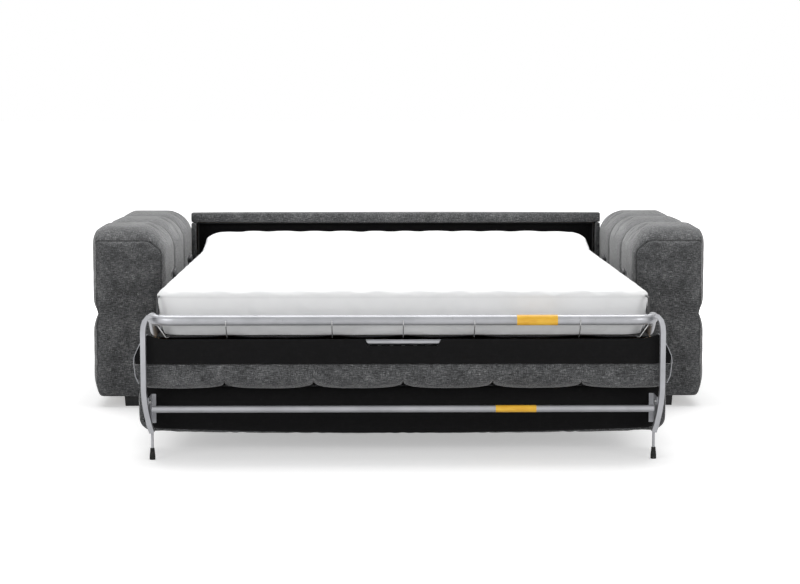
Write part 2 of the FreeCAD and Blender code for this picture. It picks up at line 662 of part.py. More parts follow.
base_low = S.pivot_height - S.seat_base_drop
base_high = base_low + S.seat_base_depth
seat_low = base_low - S.seat_pad_depth
seat_case = box("seat_case", (-seat_base_half, -seat_end + 16, base_low),
                (seat_base_half, S.seat_nose - 34, base_high))
seat_void = box("seat_void", (-seat_base_half + 20, -seat_end + 36, base_low + 12),
                (seat_base_half - 20, S.seat_nose - 54, base_high + 5))
name_part(combine("Cut", "seat_tray", seat_case, seat_void), "seat_base")

seat_sink = size(12)
seat_seam = seat_low + seat_sink
seat_row = seat_half * 2 - 20
channels = int(S.seat_channels.value)
scallops = [(-seat_half + 10 + seat_row * (float(i) / channels), seat_seam,
             scallop(seat_row / channels, seat_sink)) for i in range(channels)]
seat_across = padded_body("seat_across", "XZ_Plane",
                          scallops + [(seat_half - 10, seat_seam, 60), (seat_half - 3, base_low),
                                      (-seat_half + 3, base_low, 60)],
                          seat_end + S.seat_nose, at=(0, -seat_end, 0))
nose = S.seat_nose
seat_along = padded_body("seat_along", "YZ_Plane", [
    (-seat_end, base_low - 8), (-seat_end, seat_low + 22, 24), (-seat_end + 24, seat_low - 2),
    (nose - 34, seat_low - 2, 34), (nose, seat_low + 32), (nose, base_low),
    (-seat_end + 8, base_low)], seat_half * 2 + 20, at=(-seat_half - 10, 0, 0))
name_part(combine("Common", "seat_cushion_form", seat_across, seat_along), "seat_cushion")
name_part(box("seat_nose_block", (-seat_base_half, nose - 34, base_low),
              (seat_base_half, nose, base_high)), "seat_nose_pad")

grip_y = -seat_end + 16 - S.grip_tube / 2
grip_z = base_high + 5
grip = rod("grip_solid", (-tube_half, grip_y, grip_z), tube_half * 2, S.grip_tube)
bore = rod("grip_bore", (-tube_half - 1, grip_y, grip_z), tube_half * 2 + 2, S.grip_tube - 3)
name_part(combine("Cut", "grip_cut", grip, bore), "grip_tube")
flap_edge = seat_end + 2
window = S.grip_window / 2
stub = bed_half - S.grip_stub
name_part(padded_body("seat_end_sheet", "XZ_Plane", [
    (-seat_half + 3, base_low + 2), (seat_half - 3, base_low + 2), (seat_half, base_low + 22),
    (bed_half, base_high - 12), (stub, base_high - 8), (stub, base_high + 14),
    (window, base_high + 14), (window, base_high - 6), (-window, base_high - 6),
    (-window, base_high + 14), (-stub, base_high + 14), (-stub, base_high - 8),
    (-bed_half, base_high - 12), (-seat_half, base_low + 22)],
    S.lining_sheet, at=(0, -seat_end - 1, 0)), "seat_end_lining")
blocks = []
for number, share in enumerate((0.81, 0.46, 0.163)):
    y = -seat_end * share
    block = box("seat_block_%d" % number, (tube_half - 9, y, base_high),
                (tube_half + 9, y + 40, rail_z - S.bed_tube / 2))
    blocks += [block, mirror(block, "seat_block_left_%d" % number)]
group("seat_blocks", blocks)

# Backrest, standing on the seat near its far end

rest_y = S.rest_set - S.bed_reach
rest_half = INNER - S.rest_side_gap
rest_top = seat_seam
rest_under = S.rest_low + S.rest_belly
rest_across = padded_body("rest_across", "XZ_Plane", [
    (-rest_half + S.rest_corner, rest_under, size(60000)), (rest_half - S.rest_corner, rest_under, 36),
    (rest_half, rest_under + S.rest_corner), (rest_half, rest_top - 14),
    (-rest_half, rest_top - 14), (-rest_half, rest_under + S.rest_corner, 36)],
    S.rest_thick, at=(0, rest_y, 0))
board_y = rest_y + S.rest_board_set
rest_board_low = (-rest_half + S.rest_board_side, board_y, S.rest_low + 45)
rest_board_high = (rest_half - S.rest_board_side, board_y + S.panel_board, rest_top - 30)
name_part(combine("Cut", "rest_cover_cut", rest_across, box(
    "rest_slot", rest_board_low, rest_board_high)), "backrest_cushion")
name_part(box("rest_board_block", rest_board_low, rest_board_high), "backrest_board")
cloth_half = rest_half - S.cloth_side
cloth_under = S.rest_low + S.cloth_low
name_part(padded_body("rest_sheet", "XZ_Plane", [
    (-cloth_half + S.cloth_corner, cloth_under), (cloth_half - S.cloth_corner, cloth_under, 30),
    (cloth_half, cloth_under + S.cloth_corner), (cloth_half, rest_top - 18),
    (-cloth_half, rest_top - 18), (-cloth_half, cloth_under + S.cloth_corner, 30)],
    S.lining_sheet, at=(0, rest_y - S.lining_sheet, 0)), "backrest_lining")

side_low, side_high = size(92), size(178)
bracket_in = leg_out - 13
arm_back = leg_y + S.leg_depth
side_long = rest_y - S.lining_sheet - arm_back
side_web = padded_body("side_web", "YZ_Plane", [
    (arm_back, side_low), (arm_back + side_long, side_low), (arm_back + side_long, side_high),
    (arm_back, side_high)], 3, at=(bracket_in, 0, 0),
    holes=[(arm_back + 22, side_low + 20, 4), (arm_back + 22, side_high - 16, 4)])
side_foot = box("side_foot", (leg_out - 60, rest_y - S.lining_sheet - 3, side_low),
                (leg_out - 10, rest_y - S.lining_sheet, side_high))
pair(combine("Fuse", "side_plate", side_web, side_foot), "rest_bracket")

bolts = []
for number, z in enumerate((side_low + 20, side_high - 16)):
    bolt = turned_pin("bracket_bolt_%d" % number, arm_back + 22, z, [
        (bracket_in - 4, 7), (bracket_in, 3.9), (bracket_in + 3, 8), (bracket_in + 4.5, 6),
        (bracket_in + 9, 0)])
    bolts += [bolt, mirror(bolt, "bracket_bolt_left_%d" % number)]
group("bracket_bolts", bolts)

# Front flap that hangs under the seat's front edge, on a long hinge

hinge_rod = size(6)
flap_hinge_y = nose + hinge_rod / 2
flap_hinge_z = base_high - 4
flap_y = nose + hinge_rod
flap_top = base_high - 9
flap_half = seat_base_half - 5
leaf = size(1.5)
name_part(padded_body("flap_form", "YZ_Plane", [
    (flap_y, flap_top - S.flap_height + 10, 10), (flap_y + 10, flap_top - S.flap_height),
    (flap_y + S.flap_thick - 10, flap_top - S.flap_height, 10),
    (flap_y + S.flap_thick, flap_top - S.flap_height + 10), (flap_y + S.flap_thick, flap_top),
    (flap_y, flap_top)], flap_half * 2, at=(-flap_half, 0, 0)), "front_flap")
barrel = rod("hinge_barrel", (-flap_half + 80, flap_hinge_y, flap_hinge_z), flap_half * 2 - 160, hinge_rod)
hanging_leaf = box("hanging_leaf", (-flap_half + 80, flap_y - leaf, flap_top - 30),
                   (flap_half - 80, flap_y, flap_hinge_z))
name_part(combine("Fuse", "hinge_leaf_whole", barrel, hanging_leaf), "flap_hinge_leaf")
name_part(box("fixed_leaf", (-flap_half + 80, nose, base_low + 10),
              (flap_half - 80, nose + leaf, flap_hinge_z - hinge_rod / 2 - 1)), "flap_hinge_plate")

doc.recompute()

failed = [obj.Label for obj in doc.Objects if "Invalid" in obj.State or "Error" in obj.State]
if failed:
    raise RuntimeError("not made: %s" % ", ".join(failed))
for obj in parts:
    if obj.Shape.isNull() or not obj.Shape.isValid() or not obj.Shape.Solids:
        raise RuntimeError("%s has no valid solid" % obj.Label)

os.makedirs("parts", exist_ok=True)
for obj in parts:
    obj.Shape.exportStep("parts/%s.step" % obj.Label)
    print(obj.Label, len(obj.Shape.Solids), round(obj.Shape.Volume / 1000, 1), "cm3")
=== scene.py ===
import bpy
import bmesh
import math
import numpy as np
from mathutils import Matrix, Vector
from mathutils.bvhtree import BVHTree


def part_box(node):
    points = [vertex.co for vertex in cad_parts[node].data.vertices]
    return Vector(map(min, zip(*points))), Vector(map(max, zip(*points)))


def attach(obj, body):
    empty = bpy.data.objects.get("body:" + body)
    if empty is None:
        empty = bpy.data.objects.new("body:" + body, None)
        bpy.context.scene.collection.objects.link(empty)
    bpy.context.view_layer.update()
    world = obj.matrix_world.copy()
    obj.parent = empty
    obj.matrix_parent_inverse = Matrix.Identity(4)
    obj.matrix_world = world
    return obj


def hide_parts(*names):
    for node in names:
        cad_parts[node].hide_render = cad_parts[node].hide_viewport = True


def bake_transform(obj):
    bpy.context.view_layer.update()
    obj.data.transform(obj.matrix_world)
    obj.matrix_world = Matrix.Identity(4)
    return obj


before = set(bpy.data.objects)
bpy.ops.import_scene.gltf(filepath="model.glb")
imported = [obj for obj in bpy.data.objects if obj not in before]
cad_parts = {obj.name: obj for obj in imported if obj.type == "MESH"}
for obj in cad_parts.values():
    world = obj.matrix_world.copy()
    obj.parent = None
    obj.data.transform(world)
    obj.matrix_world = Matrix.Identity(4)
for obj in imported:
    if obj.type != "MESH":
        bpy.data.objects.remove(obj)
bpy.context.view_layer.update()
scene = bpy.context.scene

# ---- Viewpoint, floor and lamps
# A studio shot of the open sofa from the foot end: white floor that runs into a white
# backdrop, one wide lamp overhead and weaker ones in front. None of it is part of the sofa.

scene.view_settings.view_transform = "Standard"
lens = bpy.data.cameras.new("viewpoint")
lens.sensor_width = 36
lens.lens = 36 * 2049.95 / 800
viewpoint = bpy.data.objects.new("viewpoint", lens)
viewpoint.location = (-0.0842, -6.9243, 1.0566)
viewpoint.rotation_euler = (math.radians(90 - 5.523), 0, math.radians(-0.726))
scene.collection.objects.link(viewpoint)
scene.camera = viewpoint


class Socket:
    """A shader output that takes part in arithmetic; each step adds its Math node."""

    def __init__(self, finish, output):
        self.finish, self.output = finish, output

    def maths(self, operation, a, b=0.0, clamp=False):
        return self.finish.node("ShaderNodeMath", {"operation": operation, "use_clamp": clamp}, {0: a, 1: b})

    def __add__(self, other): return self.maths("ADD", self, other)
    def __sub__(self, other): return self.maths("SUBTRACT", self, other)
    def __mul__(self, other): return self.maths("MULTIPLY", self, other)
    def __truediv__(self, other): return self.maths("DIVIDE", self, other)
    def __pow__(self, other): return self.maths("POWER", self, other)
    def __rsub__(self, other): return self.maths("SUBTRACT", other, self)
    __radd__, __rmul__ = __add__, __mul__

    def kept(self): return self.maths("ADD", self, 0.0, clamp=True)

    def other(self, name):
        """Another output of the same node."""
        return Socket(self.finish, self.output.node.outputs[name])


class Finish:
    """A material or a world, with one method that adds any node."""

    def __init__(self, name, owner=None, **surface):
        self.owner = owner or bpy.data.materials.new(name)
        self.owner.use_nodes = True
        self.tree = self.owner.node_tree
        self.surface = self.tree.nodes.get("Principled BSDF")
        for socket, value in surface.items():
            self.surface.inputs[socket.replace("_", " ")].default_value = value

    def node(self, kind, settings, inputs, output=0):
        made = self.tree.nodes.new(kind)
        for name, value in settings.items():
            if name == "stops":
                ramp = made.color_ramp
                while len(ramp.elements) < len(value):
                    ramp.elements.new(0.5)
                for element, (at, tone) in zip(ramp.elements, value):
                    element.position = at
                    element.color = (*tone, 1) if isinstance(tone, tuple) else (tone, tone, tone, 1)
            else:
                setattr(made, name, value)
        for name, value in inputs.items():
            if isinstance(value, Socket):
                self.tree.links.new(value.output, made.inputs[name])
            else:
                made.inputs[name].default_value = value
        return Socket(self, made.outputs[output])

    def feed(self, **sockets):
        for name, value in sockets.items():
            self.tree.links.new(value.output, self.surface.inputs[name.replace("_", " ")])

    def place(self, scale=(1, 1, 1), uv=None):
        """Object coordinates, or the cloth's own map, stretched by a scale."""
        if uv:
            start = self.node("ShaderNodeUVMap", {"uv_map": uv}, {})
        else:
            start = self.node("ShaderNodeTexCoord", {}, {}, "Object")
        return self.node("ShaderNodeMapping", {}, {"Vector": start, "Scale": scale})

    def grain(self, vector, scale, detail=2.0, rough=0.5):
        return self.node("ShaderNodeTexNoise", {}, {
            "Vector": vector, "Scale": scale, "Detail": detail, "Roughness": rough})

    def mix(self, share, a, b):
        return self.node("ShaderNodeMix", {"data_type": "RGBA"}, {0: share, 6: a, 7: b}, 2)

    def ramp(self, value, stops):
        return self.node("ShaderNodeValToRGB", {"stops": stops}, {"Fac": value})

    def bump(self, height, distance, strength=1.0):
        return self.node("ShaderNodeBump", {}, {
            "Height": height, "Distance": distance, "Strength": strength})


def grey(level, tint=(1, 1, 1)):
    """A colour as a four-number value."""
    return (level * tint[0], level * tint[1], level * tint[2], 1)


sky = bpy.data.worlds.new("studio")
scene.world = sky
room = Finish("studio", sky)
rays = room.node("ShaderNodeLightPath", {}, {}, "Is Camera Ray")
seen = (rays + rays.other("Is Glossy Ray") * 0.55 + rays.other("Is Transmission Ray")).kept()
backdrop = room.node("ShaderNodeMix", {"data_type": "FLOAT"}, {0: seen, 2: 0.34, 3: 1.0})
room.tree.links.new(backdrop.output, room.tree.nodes["Background"].inputs["Strength"])
room.tree.nodes["Background"].inputs["Color"].default_value = (1, 1, 1, 1)

floor_mesh = bpy.data.meshes.new("studio_floor")
floor_mesh.from_pydata([(-40, -12, 0), (40, -12, 0), (40, 70, 0), (-40, 70, 0)], [], [(0, 1, 2, 3)])
floor = bpy.data.objects.new("studio_floor", floor_mesh)
scene.collection.objects.link(floor)
paper = Finish("studio_paper", Base_Color=grey(0.82), Roughness=0.9, Specular_IOR_Level=0.1)
paper_seen = paper.node("ShaderNodeLightPath", {}, {}, "Is Camera Ray")
spot = paper.node("ShaderNodeSeparateXYZ", {}, {"Vector": paper.place((1 / 1.45, 1 / 1.6, 1))}, "X")
away = ((spot * spot + spot.other("Y") * spot.other("Y")) ** 0.5 - 1.0).kept()
paper_lit = (paper_seen + paper_seen.other("Is Glossy Ray") * 0.3).kept()
paper.feed(Emission_Strength=paper_lit * (away * 0.75 + 0.42))
paper.surface.inputs["Emission Color"].default_value = (1, 1, 1, 1)
floor_mesh.materials.append(paper.owner)


def lamp(name, place, towards, size, power):
    light = bpy.data.lights.new(name, "AREA")
    light.shape = "RECTANGLE"
    light.size, light.size_y = size
    light.energy = power
    made = bpy.data.objects.new(name, light)
    made.location = place
    made.rotation_euler = (Vector(towards) - Vector(place)).to_track_quat("-Z", "Y").to_euler()
    scene.collection.objects.link(made)


lamp("overhead", (0, 0.9, 3.4), (0, 0.0, 0.3), (5.0, 3.0), 158)
lamp("front_left", (-3.4, -5.2, 2.0), (0, 0, 0.3), (2.6, 2.0), 76)
lamp("front_right", (3.6, -5.0, 2.0), (0, 0, 0.3), (2.6, 2.0), 66)

# ---- Arms
# Each arm is a board carcass under foam and a cover of grey melange upholstery weave, sewn
# into three rolls that run over the top and down both sides, with one level side seam.

CLOTH = "cloth"


def stations(start, end, pitch, seams=(), tuck=0.0035):
    """Grid positions from start to end, with a close pair beside every seam."""
    anchors = [start, *sorted(seams), end]
    found = set()
    for a, b in zip(anchors, anchors[1:]):
        found.update(np.linspace(a, b, max(2, round((b - a) / pitch)) + 1).round(5))
    for seam in anchors:
        found.update(round(seam + step, 5) for step in (-tuck, tuck) if start < seam + step < end)
    return sorted(found)


def block(name, xs, ys, zs):
    """Closed grid surface round a block, with a map in metres on every side."""
    nx, ny, nz = len(xs) - 1, len(ys) - 1, len(zs) - 1
    index, points, faces, maps = {}, [], [], []

    def corner(i, j, k):
        if (i, j, k) not in index:
            index[i, j, k] = len(points)
            points.append((xs[i], ys[j], zs[k]))
        return index[i, j, k]

    def side(quad, axes):
        faces.append([corner(*c) for c in quad])
        maps.extend((points[n][axes[0]], points[n][axes[1]]) for n in faces[-1])

    for j in range(ny):
        for k in range(nz):
            side([(0, j, k), (0, j, k + 1), (0, j + 1, k + 1), (0, j + 1, k)], (1, 2))
            side([(nx, j, k), (nx, j + 1, k), (nx, j + 1, k + 1), (nx, j, k + 1)], (1, 2))
    for i in range(nx):
        for k in range(nz):
            side([(i, 0, k), (i + 1, 0, k), (i + 1, 0, k + 1), (i, 0, k + 1)], (0, 2))
            side([(i, ny, k), (i, ny, k + 1), (i + 1, ny, k + 1), (i + 1, ny, k)], (0, 2))
    for i in range(nx):
        for j in range(ny):
            side([(i, j, 0), (i, j + 1, 0), (i + 1, j + 1, 0), (i + 1, j, 0)], (0, 1))
            side([(i, j, nz), (i + 1, j, nz), (i + 1, j + 1, nz), (i, j + 1, nz)], (0, 1))
    mesh = bpy.data.meshes.new(name)
    mesh.from_pydata(points, [], faces)
    uv = mesh.uv_layers.new(name=CLOTH)
    uv.data.foreach_set("uv", np.array(maps, np.float32).ravel())
    made = bpy.data.objects.new(name, mesh)
    scene.collection.objects.link(made)
    return made


def points_of(piece):
    flat = np.empty(len(piece.data.vertices) * 3, np.float32)
    piece.data.vertices.foreach_get("co", flat)
    return flat.reshape(-1, 3).astype(float)


def move_points(piece, points):
    piece.data.vertices.foreach_set("co", points.astype(np.float32).ravel())
    piece.data.update()


def rounded(u, v, low, high, radii):
    """Round the corners of a section: radii for (low u, low v), (high, low), (high, high), (low, high)."""
    u, v = u.copy(), v.copy()
    for (su, sv), radius in zip(((0, 0), (1, 0), (1, 1), (0, 1)), radii):
        cu = (low[0] + radius) if su == 0 else (high[0] - radius)
        cv = (low[1] + radius) if sv == 0 else (high[1] - radius)
        a = (cu - u if su == 0 else u - cu) / radius
        b = (cv - v if sv == 0 else v - cv) / radius
        near = (a > 0) & (b > 0)
        shrink = np.where(near, np.maximum(a, b) / np.sqrt(np.where(near, a * a + b * b, 1)), 1)
        u = np.where(near, cu + (u - cu) * shrink, u)
        v = np.where(near, cv + (v - cv) * shrink, v)
    return u, v


def puff(t, power=0.6):
    """0 at the ends of a panel and 1 in its middle."""
    return np.abs(np.sin(np.pi * np.clip(t, 0, 1))) ** power


def near(value, target, reach=1e-4):
    return np.abs(value - target) < reach


def set_seam_shade(piece, weight):
    """Keep the seams in the mesh as a weight that the finish turns into painted shade in the seam creases."""
    attribute = piece.data.attributes.new("seam", "FLOAT", "POINT")
    attribute.data.foreach_set("value", np.asarray(weight, np.float32))


def sink(piece, where, depth):
    """Pull points into the filling along their normals."""
    points = points_of(piece)
    normals = np.array([v.normal for v in piece.data.vertices])
    move_points(piece, points - normals * (np.asarray(where) * depth)[:, None])


def swell(piece, held, cap, slack=0.012, pressure=4.0):
    """Let the cover swell and crease between its seams, as it does over foam."""
    before = points_of(piece)
    group = piece.vertex_groups.new(name="held")
    group.add([int(n) for n in np.nonzero(held)[0]], 1.0, "REPLACE")
    cloth = piece.modifiers.new("cloth", "CLOTH")
    rule = cloth.settings
    rule.use_pressure = True
    rule.uniform_pressure_force = pressure
    rule.vertex_group_mass = "held"
    rule.shrink_min = -slack
    rule.effector_weights.gravity = 0
    rule.quality = 4
    rule.mass = 0.3
    rule.bending_stiffness = 0.6
    cloth.point_cache.frame_start, cloth.point_cache.frame_end = 1, 20
    for step in range(1, 21):
        scene.frame_set(step)
    settled = piece.evaluated_get(bpy.context.evaluated_depsgraph_get())
    flat = np.empty(len(before) * 3, np.float32)
    settled.data.vertices.foreach_get("co", flat)
    move = flat.reshape(-1, 3) - before
    far = np.linalg.norm(move, axis=1)
    move *= np.where(far > cap, cap / np.maximum(far, 1e-9), 1)[:, None]
    piece.modifiers.clear()
    piece.vertex_groups.clear()
    move_points(piece, before + move)
    scene.frame_set(1)


def settle(piece, finish, levels=1):
    """One subdivision made permanent, smooth shading and the finish."""
    rounder = piece.modifiers.new("rounder", "SUBSURF")
    rounder.levels = rounder.render_levels = levels
    rounder.uv_smooth = "NONE"
    made = bpy.data.meshes.new_from_object(piece.evaluated_get(bpy.context.evaluated_depsgraph_get()))
    piece.modifiers.clear()
    piece.data = made
    made.materials.clear()
    made.materials.append(finish.owner)
    made.polygons.foreach_set("use_smooth", [True] * len(made.polygons))


def mirrored(piece, name):
    """The same piece on the other side."""
    mesh = piece.data.copy()
    made = bpy.data.objects.new(name, mesh)
    scene.collection.objects.link(made)
    points = points_of(made)
    points[:, 0] *= -1
    move_points(made, points)
    mesh.flip_normals()
    return made


upholstery = Finish("melange_upholstery", Roughness=0.93, Sheen_Weight=0.6, Sheen_Roughness=0.4,
                    Specular_IOR_Level=0.25)
long_weft = upholstery.grain(upholstery.place((44, 430, 1), CLOTH), 1.0, 2.5, 0.6)
long_warp = upholstery.grain(upholstery.place((390, 50, 1), CLOTH), 1.0, 2.5, 0.6)
short_weft = upholstery.grain(upholstery.place((95, 760, 1), CLOTH), 1.0, 2.0, 0.6)
short_warp = upholstery.grain(upholstery.place((760, 105, 1), CLOTH), 1.0, 2.0, 0.6)
fleck = upholstery.grain(upholstery.place((1, 1, 1), CLOTH), 420, 2.0, 0.6)
cloud = upholstery.grain(upholstery.place((1, 1, 1), CLOTH), 16, 2.0, 0.5)
tone = (long_weft * 0.30 + long_warp * 0.18 + short_weft * 0.22 + short_warp * 0.14
        + fleck * 0.24 + cloud * 0.10 - 0.09)
yarn = upholstery.ramp(tone, [(0.40, (0.014, 0.014, 0.015)), (0.47, (0.053, 0.054, 0.056)),
                              (0.54, (0.13, 0.132, 0.135)), (0.62, (0.40, 0.405, 0.41))])
# Painted shade: the seam weight mixes the yarn colour towards near black, standing in for the shade in the seam
# creases.
seam_shade_mark = upholstery.node("ShaderNodeAttribute", {"attribute_name": "seam"}, {}, "Fac")
upholstery.feed(
    Base_Color=upholstery.mix((seam_shade_mark * 0.9).kept(), yarn, grey(0.008)),
    Roughness=0.98 - short_weft * 0.16,
    Normal=upholstery.bump(short_weft * 0.5 + short_warp * 0.5 + long_weft * 0.4 + fleck * 0.4, 0.0022, 0.9))

arm_low, arm_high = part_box("arm_cover_right")
inner, outer = arm_low.x, arm_high.x
front, rear = arm_low.y, arm_high.y
under, crest = arm_low.z, arm_high.z
SIDE_SEAM = 0.315
roll_seams = [front + (rear - front) * share for share in (1 / 3, 2 / 3)]
arm = block("arm_right", stations(inner, outer, 0.011), stations(front, rear, 0.0115, roll_seams),
            stations(under, crest, 0.0115, [SIDE_SEAM]))
rest = points_of(arm)
x, y, z = rest.T
across, along = (x - inner) / (outer - inner), (y - front) / (rear - front)
roll = puff(along * 3 % 1, 0.55)
roll[near(along, 0) | near(along, 1)] = 0
front_fall = np.clip(1 - (y - front) / 0.085, 0, 1) ** 2
rear_fall = np.clip(1 - (rear - y) / 0.06, 0, 1) ** 2
fx, fz = rounded(x, z, (inner, under), (outer, crest), (0.012, 0.014, 0.016, 0.072))
top_share = np.clip((z - 0.36) / (crest - 0.36), 0, 1) ** 1.6
fz -= top_share * (0.024 * (1 - roll) + 0.020 * front_fall + 0.012 * rear_fall)
pinch = np.exp(-((z - SIDE_SEAM) / 0.022) ** 2) + np.exp(-((z - under) / 0.03) ** 2)
fx -= across ** 1.5 * (0.008 * pinch + 0.013 * (1 - roll))
fx += (1 - across) ** 2 * 0.007 * (1 - roll)
face_puff = puff(across, 0.3) * puff((z - under) / (crest - under), 0.25)
fy = y + 0.011 * front_fall * (1 - face_puff) - 0.008 * rear_fall * (1 - face_puff)
move_points(arm, np.stack([fx, fy, fz], 1))
on_front, on_side = near(y, front), near(x, outer)
rim = (near(x, inner) | near(x, outer) | near(z, crest)) & (z > under + 0.01)
arm_seam = (on_front & rim) | (near(y, rear) & rim) | (near(z, SIDE_SEAM) & on_side)
for seam in roll_seams:
    arm_seam |= near(y, seam) & (z > under + 0.005)
over_top = np.zeros(len(x), bool)
for seam in roll_seams:
    over_top |= near(y, seam) & (z > under + 0.005)
sink(arm, arm_seam, 0.002 + 0.004 * over_top)
# Painted shade: the roll seams over the top get full weight, the front rim seams 0.85 and the other seams 0.6,
# and the finish darkens them as shade in their creases.
set_seam_shade(arm, np.where(over_top, 1.0, np.where(on_front & rim, 0.85, 0.6 * arm_seam)))
swell(arm, arm_seam | near(z, under), 0.006)
settle(arm, upholstery)
arm_left = mirrored(arm, "arm_left")
for piece, side in ((arm, "right"), (arm_left, "left")):
    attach(piece, "root")
    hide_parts("arm_cover_" + side)

board = Finish("plain_softwood_board", Roughness=0.7, Specular_IOR_Level=0.3)
rings = board.grain(board.place((22, 3, 22)), 1.6, 5.0, 0.62)
fibre = board.grain(board.place((260, 8, 260)), 1.0, 2.0, 0.6)
board.feed(
    Base_Color=board.ramp(rings * 0.7 + fibre * 0.3, [(0.3, (0.30, 0.19, 0.10)), (0.5, (0.47, 0.33, 0.19)),
                                                      (0.7, (0.60, 0.45, 0.28))]),
    Roughness=0.62 + fibre * 0.2,
    Normal=board.bump(fibre + rings * 0.5, 0.0008, 0.6))


def dress(finish, *nodes):
    """Give CAD pieces their finish."""
    for node in nodes:
        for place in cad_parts[node].material_slots:
            place.material = finish.owner


dress(board, "arm_frame_right", "arm_frame_left")

# ---- Feet
# Four tapered blocks of moulded black plastic, screwed up into the arms' bottom boards.

moulding = Finish("black_moulded_plastic", Base_Color=grey(0.016), Roughness=0.5, Specular_IOR_Level=0.4)
spark = moulding.grain(moulding.place(), 900, 2.0, 0.6)
scuff = moulding.grain(moulding.place((60, 60, 14)), 1.0, 3.0, 0.65)
moulding.feed(
    Base_Color=moulding.ramp(scuff, [(0.45, (0.012, 0.012, 0.013)), (0.62, (0.022, 0.022, 0.023)),
                                     (0.8, (0.05, 0.05, 0.05))]),
    Roughness=0.42 + scuff * 0.25,
    Normal=moulding.bump(spark, 0.0004, 0.35))
dress(moulding, "feet")

# ---- Back
# A shallow frame of board and foam covered in the same weave; its front is an open recess
# lined with black cloth, where the folded bed lies.

back_low, back_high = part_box("back_cover")
lining_low, lining_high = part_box("back_lining")


def pad_box(name, low, high, pitch, radii, section="yz", bulge=0.003):
    """Small padded block with rounded corners across its length."""
    made = block(name, *[stations(a, b, pitch) for a, b in zip(low, high)])
    p = points_of(made)
    u, v = {"yz": (1, 2), "xz": (0, 2), "xy": (0, 1)}[section]
    p[:, u], p[:, v] = rounded(p[:, u], p[:, v], (low[u], low[v]), (high[u], high[v]), radii)
    centre = (np.array(low) + np.array(high)) / 2
    half = (np.array(high) - np.array(low)) / 2
    away = np.abs((p - centre) / half)
    for axis in range(3):
        others = [n for n in range(3) if n != axis]
        soft = np.prod([1 - away[:, n] ** 2 for n in others], axis=0).clip(0, 1) ** 0.5
        p[:, axis] -= np.sign(p[:, axis] - centre[axis]) * bulge * (1 - soft) * (away[:, axis] > 0.9)
    move_points(made, p)
    return made


def merge(name, pieces):
    """Join the parts of one cover into one piece."""
    with bpy.context.temp_override(active_object=pieces[0], selected_editable_objects=pieces):
        bpy.ops.object.join()
    pieces[0].name = name
    return pieces[0]


rail_under = lining_high.z
stile_in = lining_high.x
back_pieces = [
    pad_box("back_rail", (-inner + 0.001, back_low.y, rail_under),
            (inner - 0.001, back_high.y, back_high.z), 0.012, (0.004, 0.004, 0.026, 0.016)),
    pad_box("back_panel", (-inner + 0.002, back_high.y - 0.015, back_low.z),
            (inner - 0.002, back_high.y, rail_under), 0.03, (0.005,) * 4, bulge=0.002)]
for side in (-1, 1):
    ends = sorted((side * stile_in, side * (inner - 0.001)))
    back_pieces.append(pad_box(
        "back_stile", (ends[0], back_low.y, back_low.z), (ends[1], back_high.y, rail_under),
        0.012, (0.006, 0.006, 0.004, 0.004), "xy", 0.002))
back = merge("back_cover_sewn", back_pieces)
set_seam_shade(back, np.zeros(len(back.data.vertices)))
settle(back, upholstery)
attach(back, "root")
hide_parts("back_cover")
dress(board, "back_board", "base_bar_front", "base_bar_rear")

lining = Finish("black_lining_cloth", Roughness=0.9, Specular_IOR_Level=0.15, Sheen_Weight=0.12)
lint = lining.grain(lining.place(), 60, 3.0, 0.6)
level_thread = lining.grain(lining.place((900, 900, 60)), 1.0)
thread = (level_thread + lining.grain(lining.place((60, 60, 900)), 1.0)) * 0.5
lining.feed(
    Base_Color=lining.ramp(lint * 0.4 + thread * 0.6, [(0.35, (0.003, 0.003, 0.0032)),
                                                       (0.55, (0.006, 0.0058, 0.0063)),
                                                       (0.75, (0.013, 0.0125, 0.013))]),
    Roughness=0.82 + lint * 0.15,
    Normal=lining.bump(thread, 0.0008, 0.5))


def sheet_grid(name, origin, u, v, size, cells, shape=None):
    """Flat grid from a corner along two directions; shape(a, b, points) may drape it."""
    nu, nv = cells
    a, b = np.meshgrid(np.linspace(0, 1, nu + 1), np.linspace(0, 1, nv + 1), indexing="ij")
    a, b = a.ravel(), b.ravel()
    points = (np.array(origin) + a[:, None] * np.array(u) * size[0] + b[:, None] * np.array(v) * size[1])
    if shape:
        points = shape(a, b, points)
    faces = [(i * (nv + 1) + j, (i + 1) * (nv + 1) + j, (i + 1) * (nv + 1) + j + 1, i * (nv + 1) + j + 1)
             for i in range(nu) for j in range(nv)]
    mesh = bpy.data.meshes.new(name)
    mesh.from_pydata([tuple(p) for p in points], [], faces)
    uv = mesh.uv_layers.new(name=CLOTH)
    where = np.stack([a * size[0], b * size[1]], 1)
    order = np.array(faces).ravel()
    uv.data.foreach_set("uv", where[order].astype(np.float32).ravel())
    made = bpy.data.objects.new(name, mesh)
    scene.collection.objects.link(made)
    return made


def thicken(piece, finish, depth=0.0016):
    """Give a cloth its thickness and finish."""
    shell = piece.modifiers.new("shell", "SOLIDIFY")
    shell.thickness = depth
    shell.offset = 0
    made = bpy.data.meshes.new_from_object(piece.evaluated_get(bpy.context.evaluated_depsgraph_get()))
    piece.modifiers.clear()
    piece.data = made
    made.materials.clear()
    made.materials.append(finish.owner)
    made.polygons.foreach_set("use_smooth", [True] * len(made.polygons))


recess_depth = lining_high.y - lining_low.y
recess_width = lining_high.x - lining_low.x
recess_height = lining_high.z - lining_low.z
recess_flat = recess_width + 2 * recess_depth


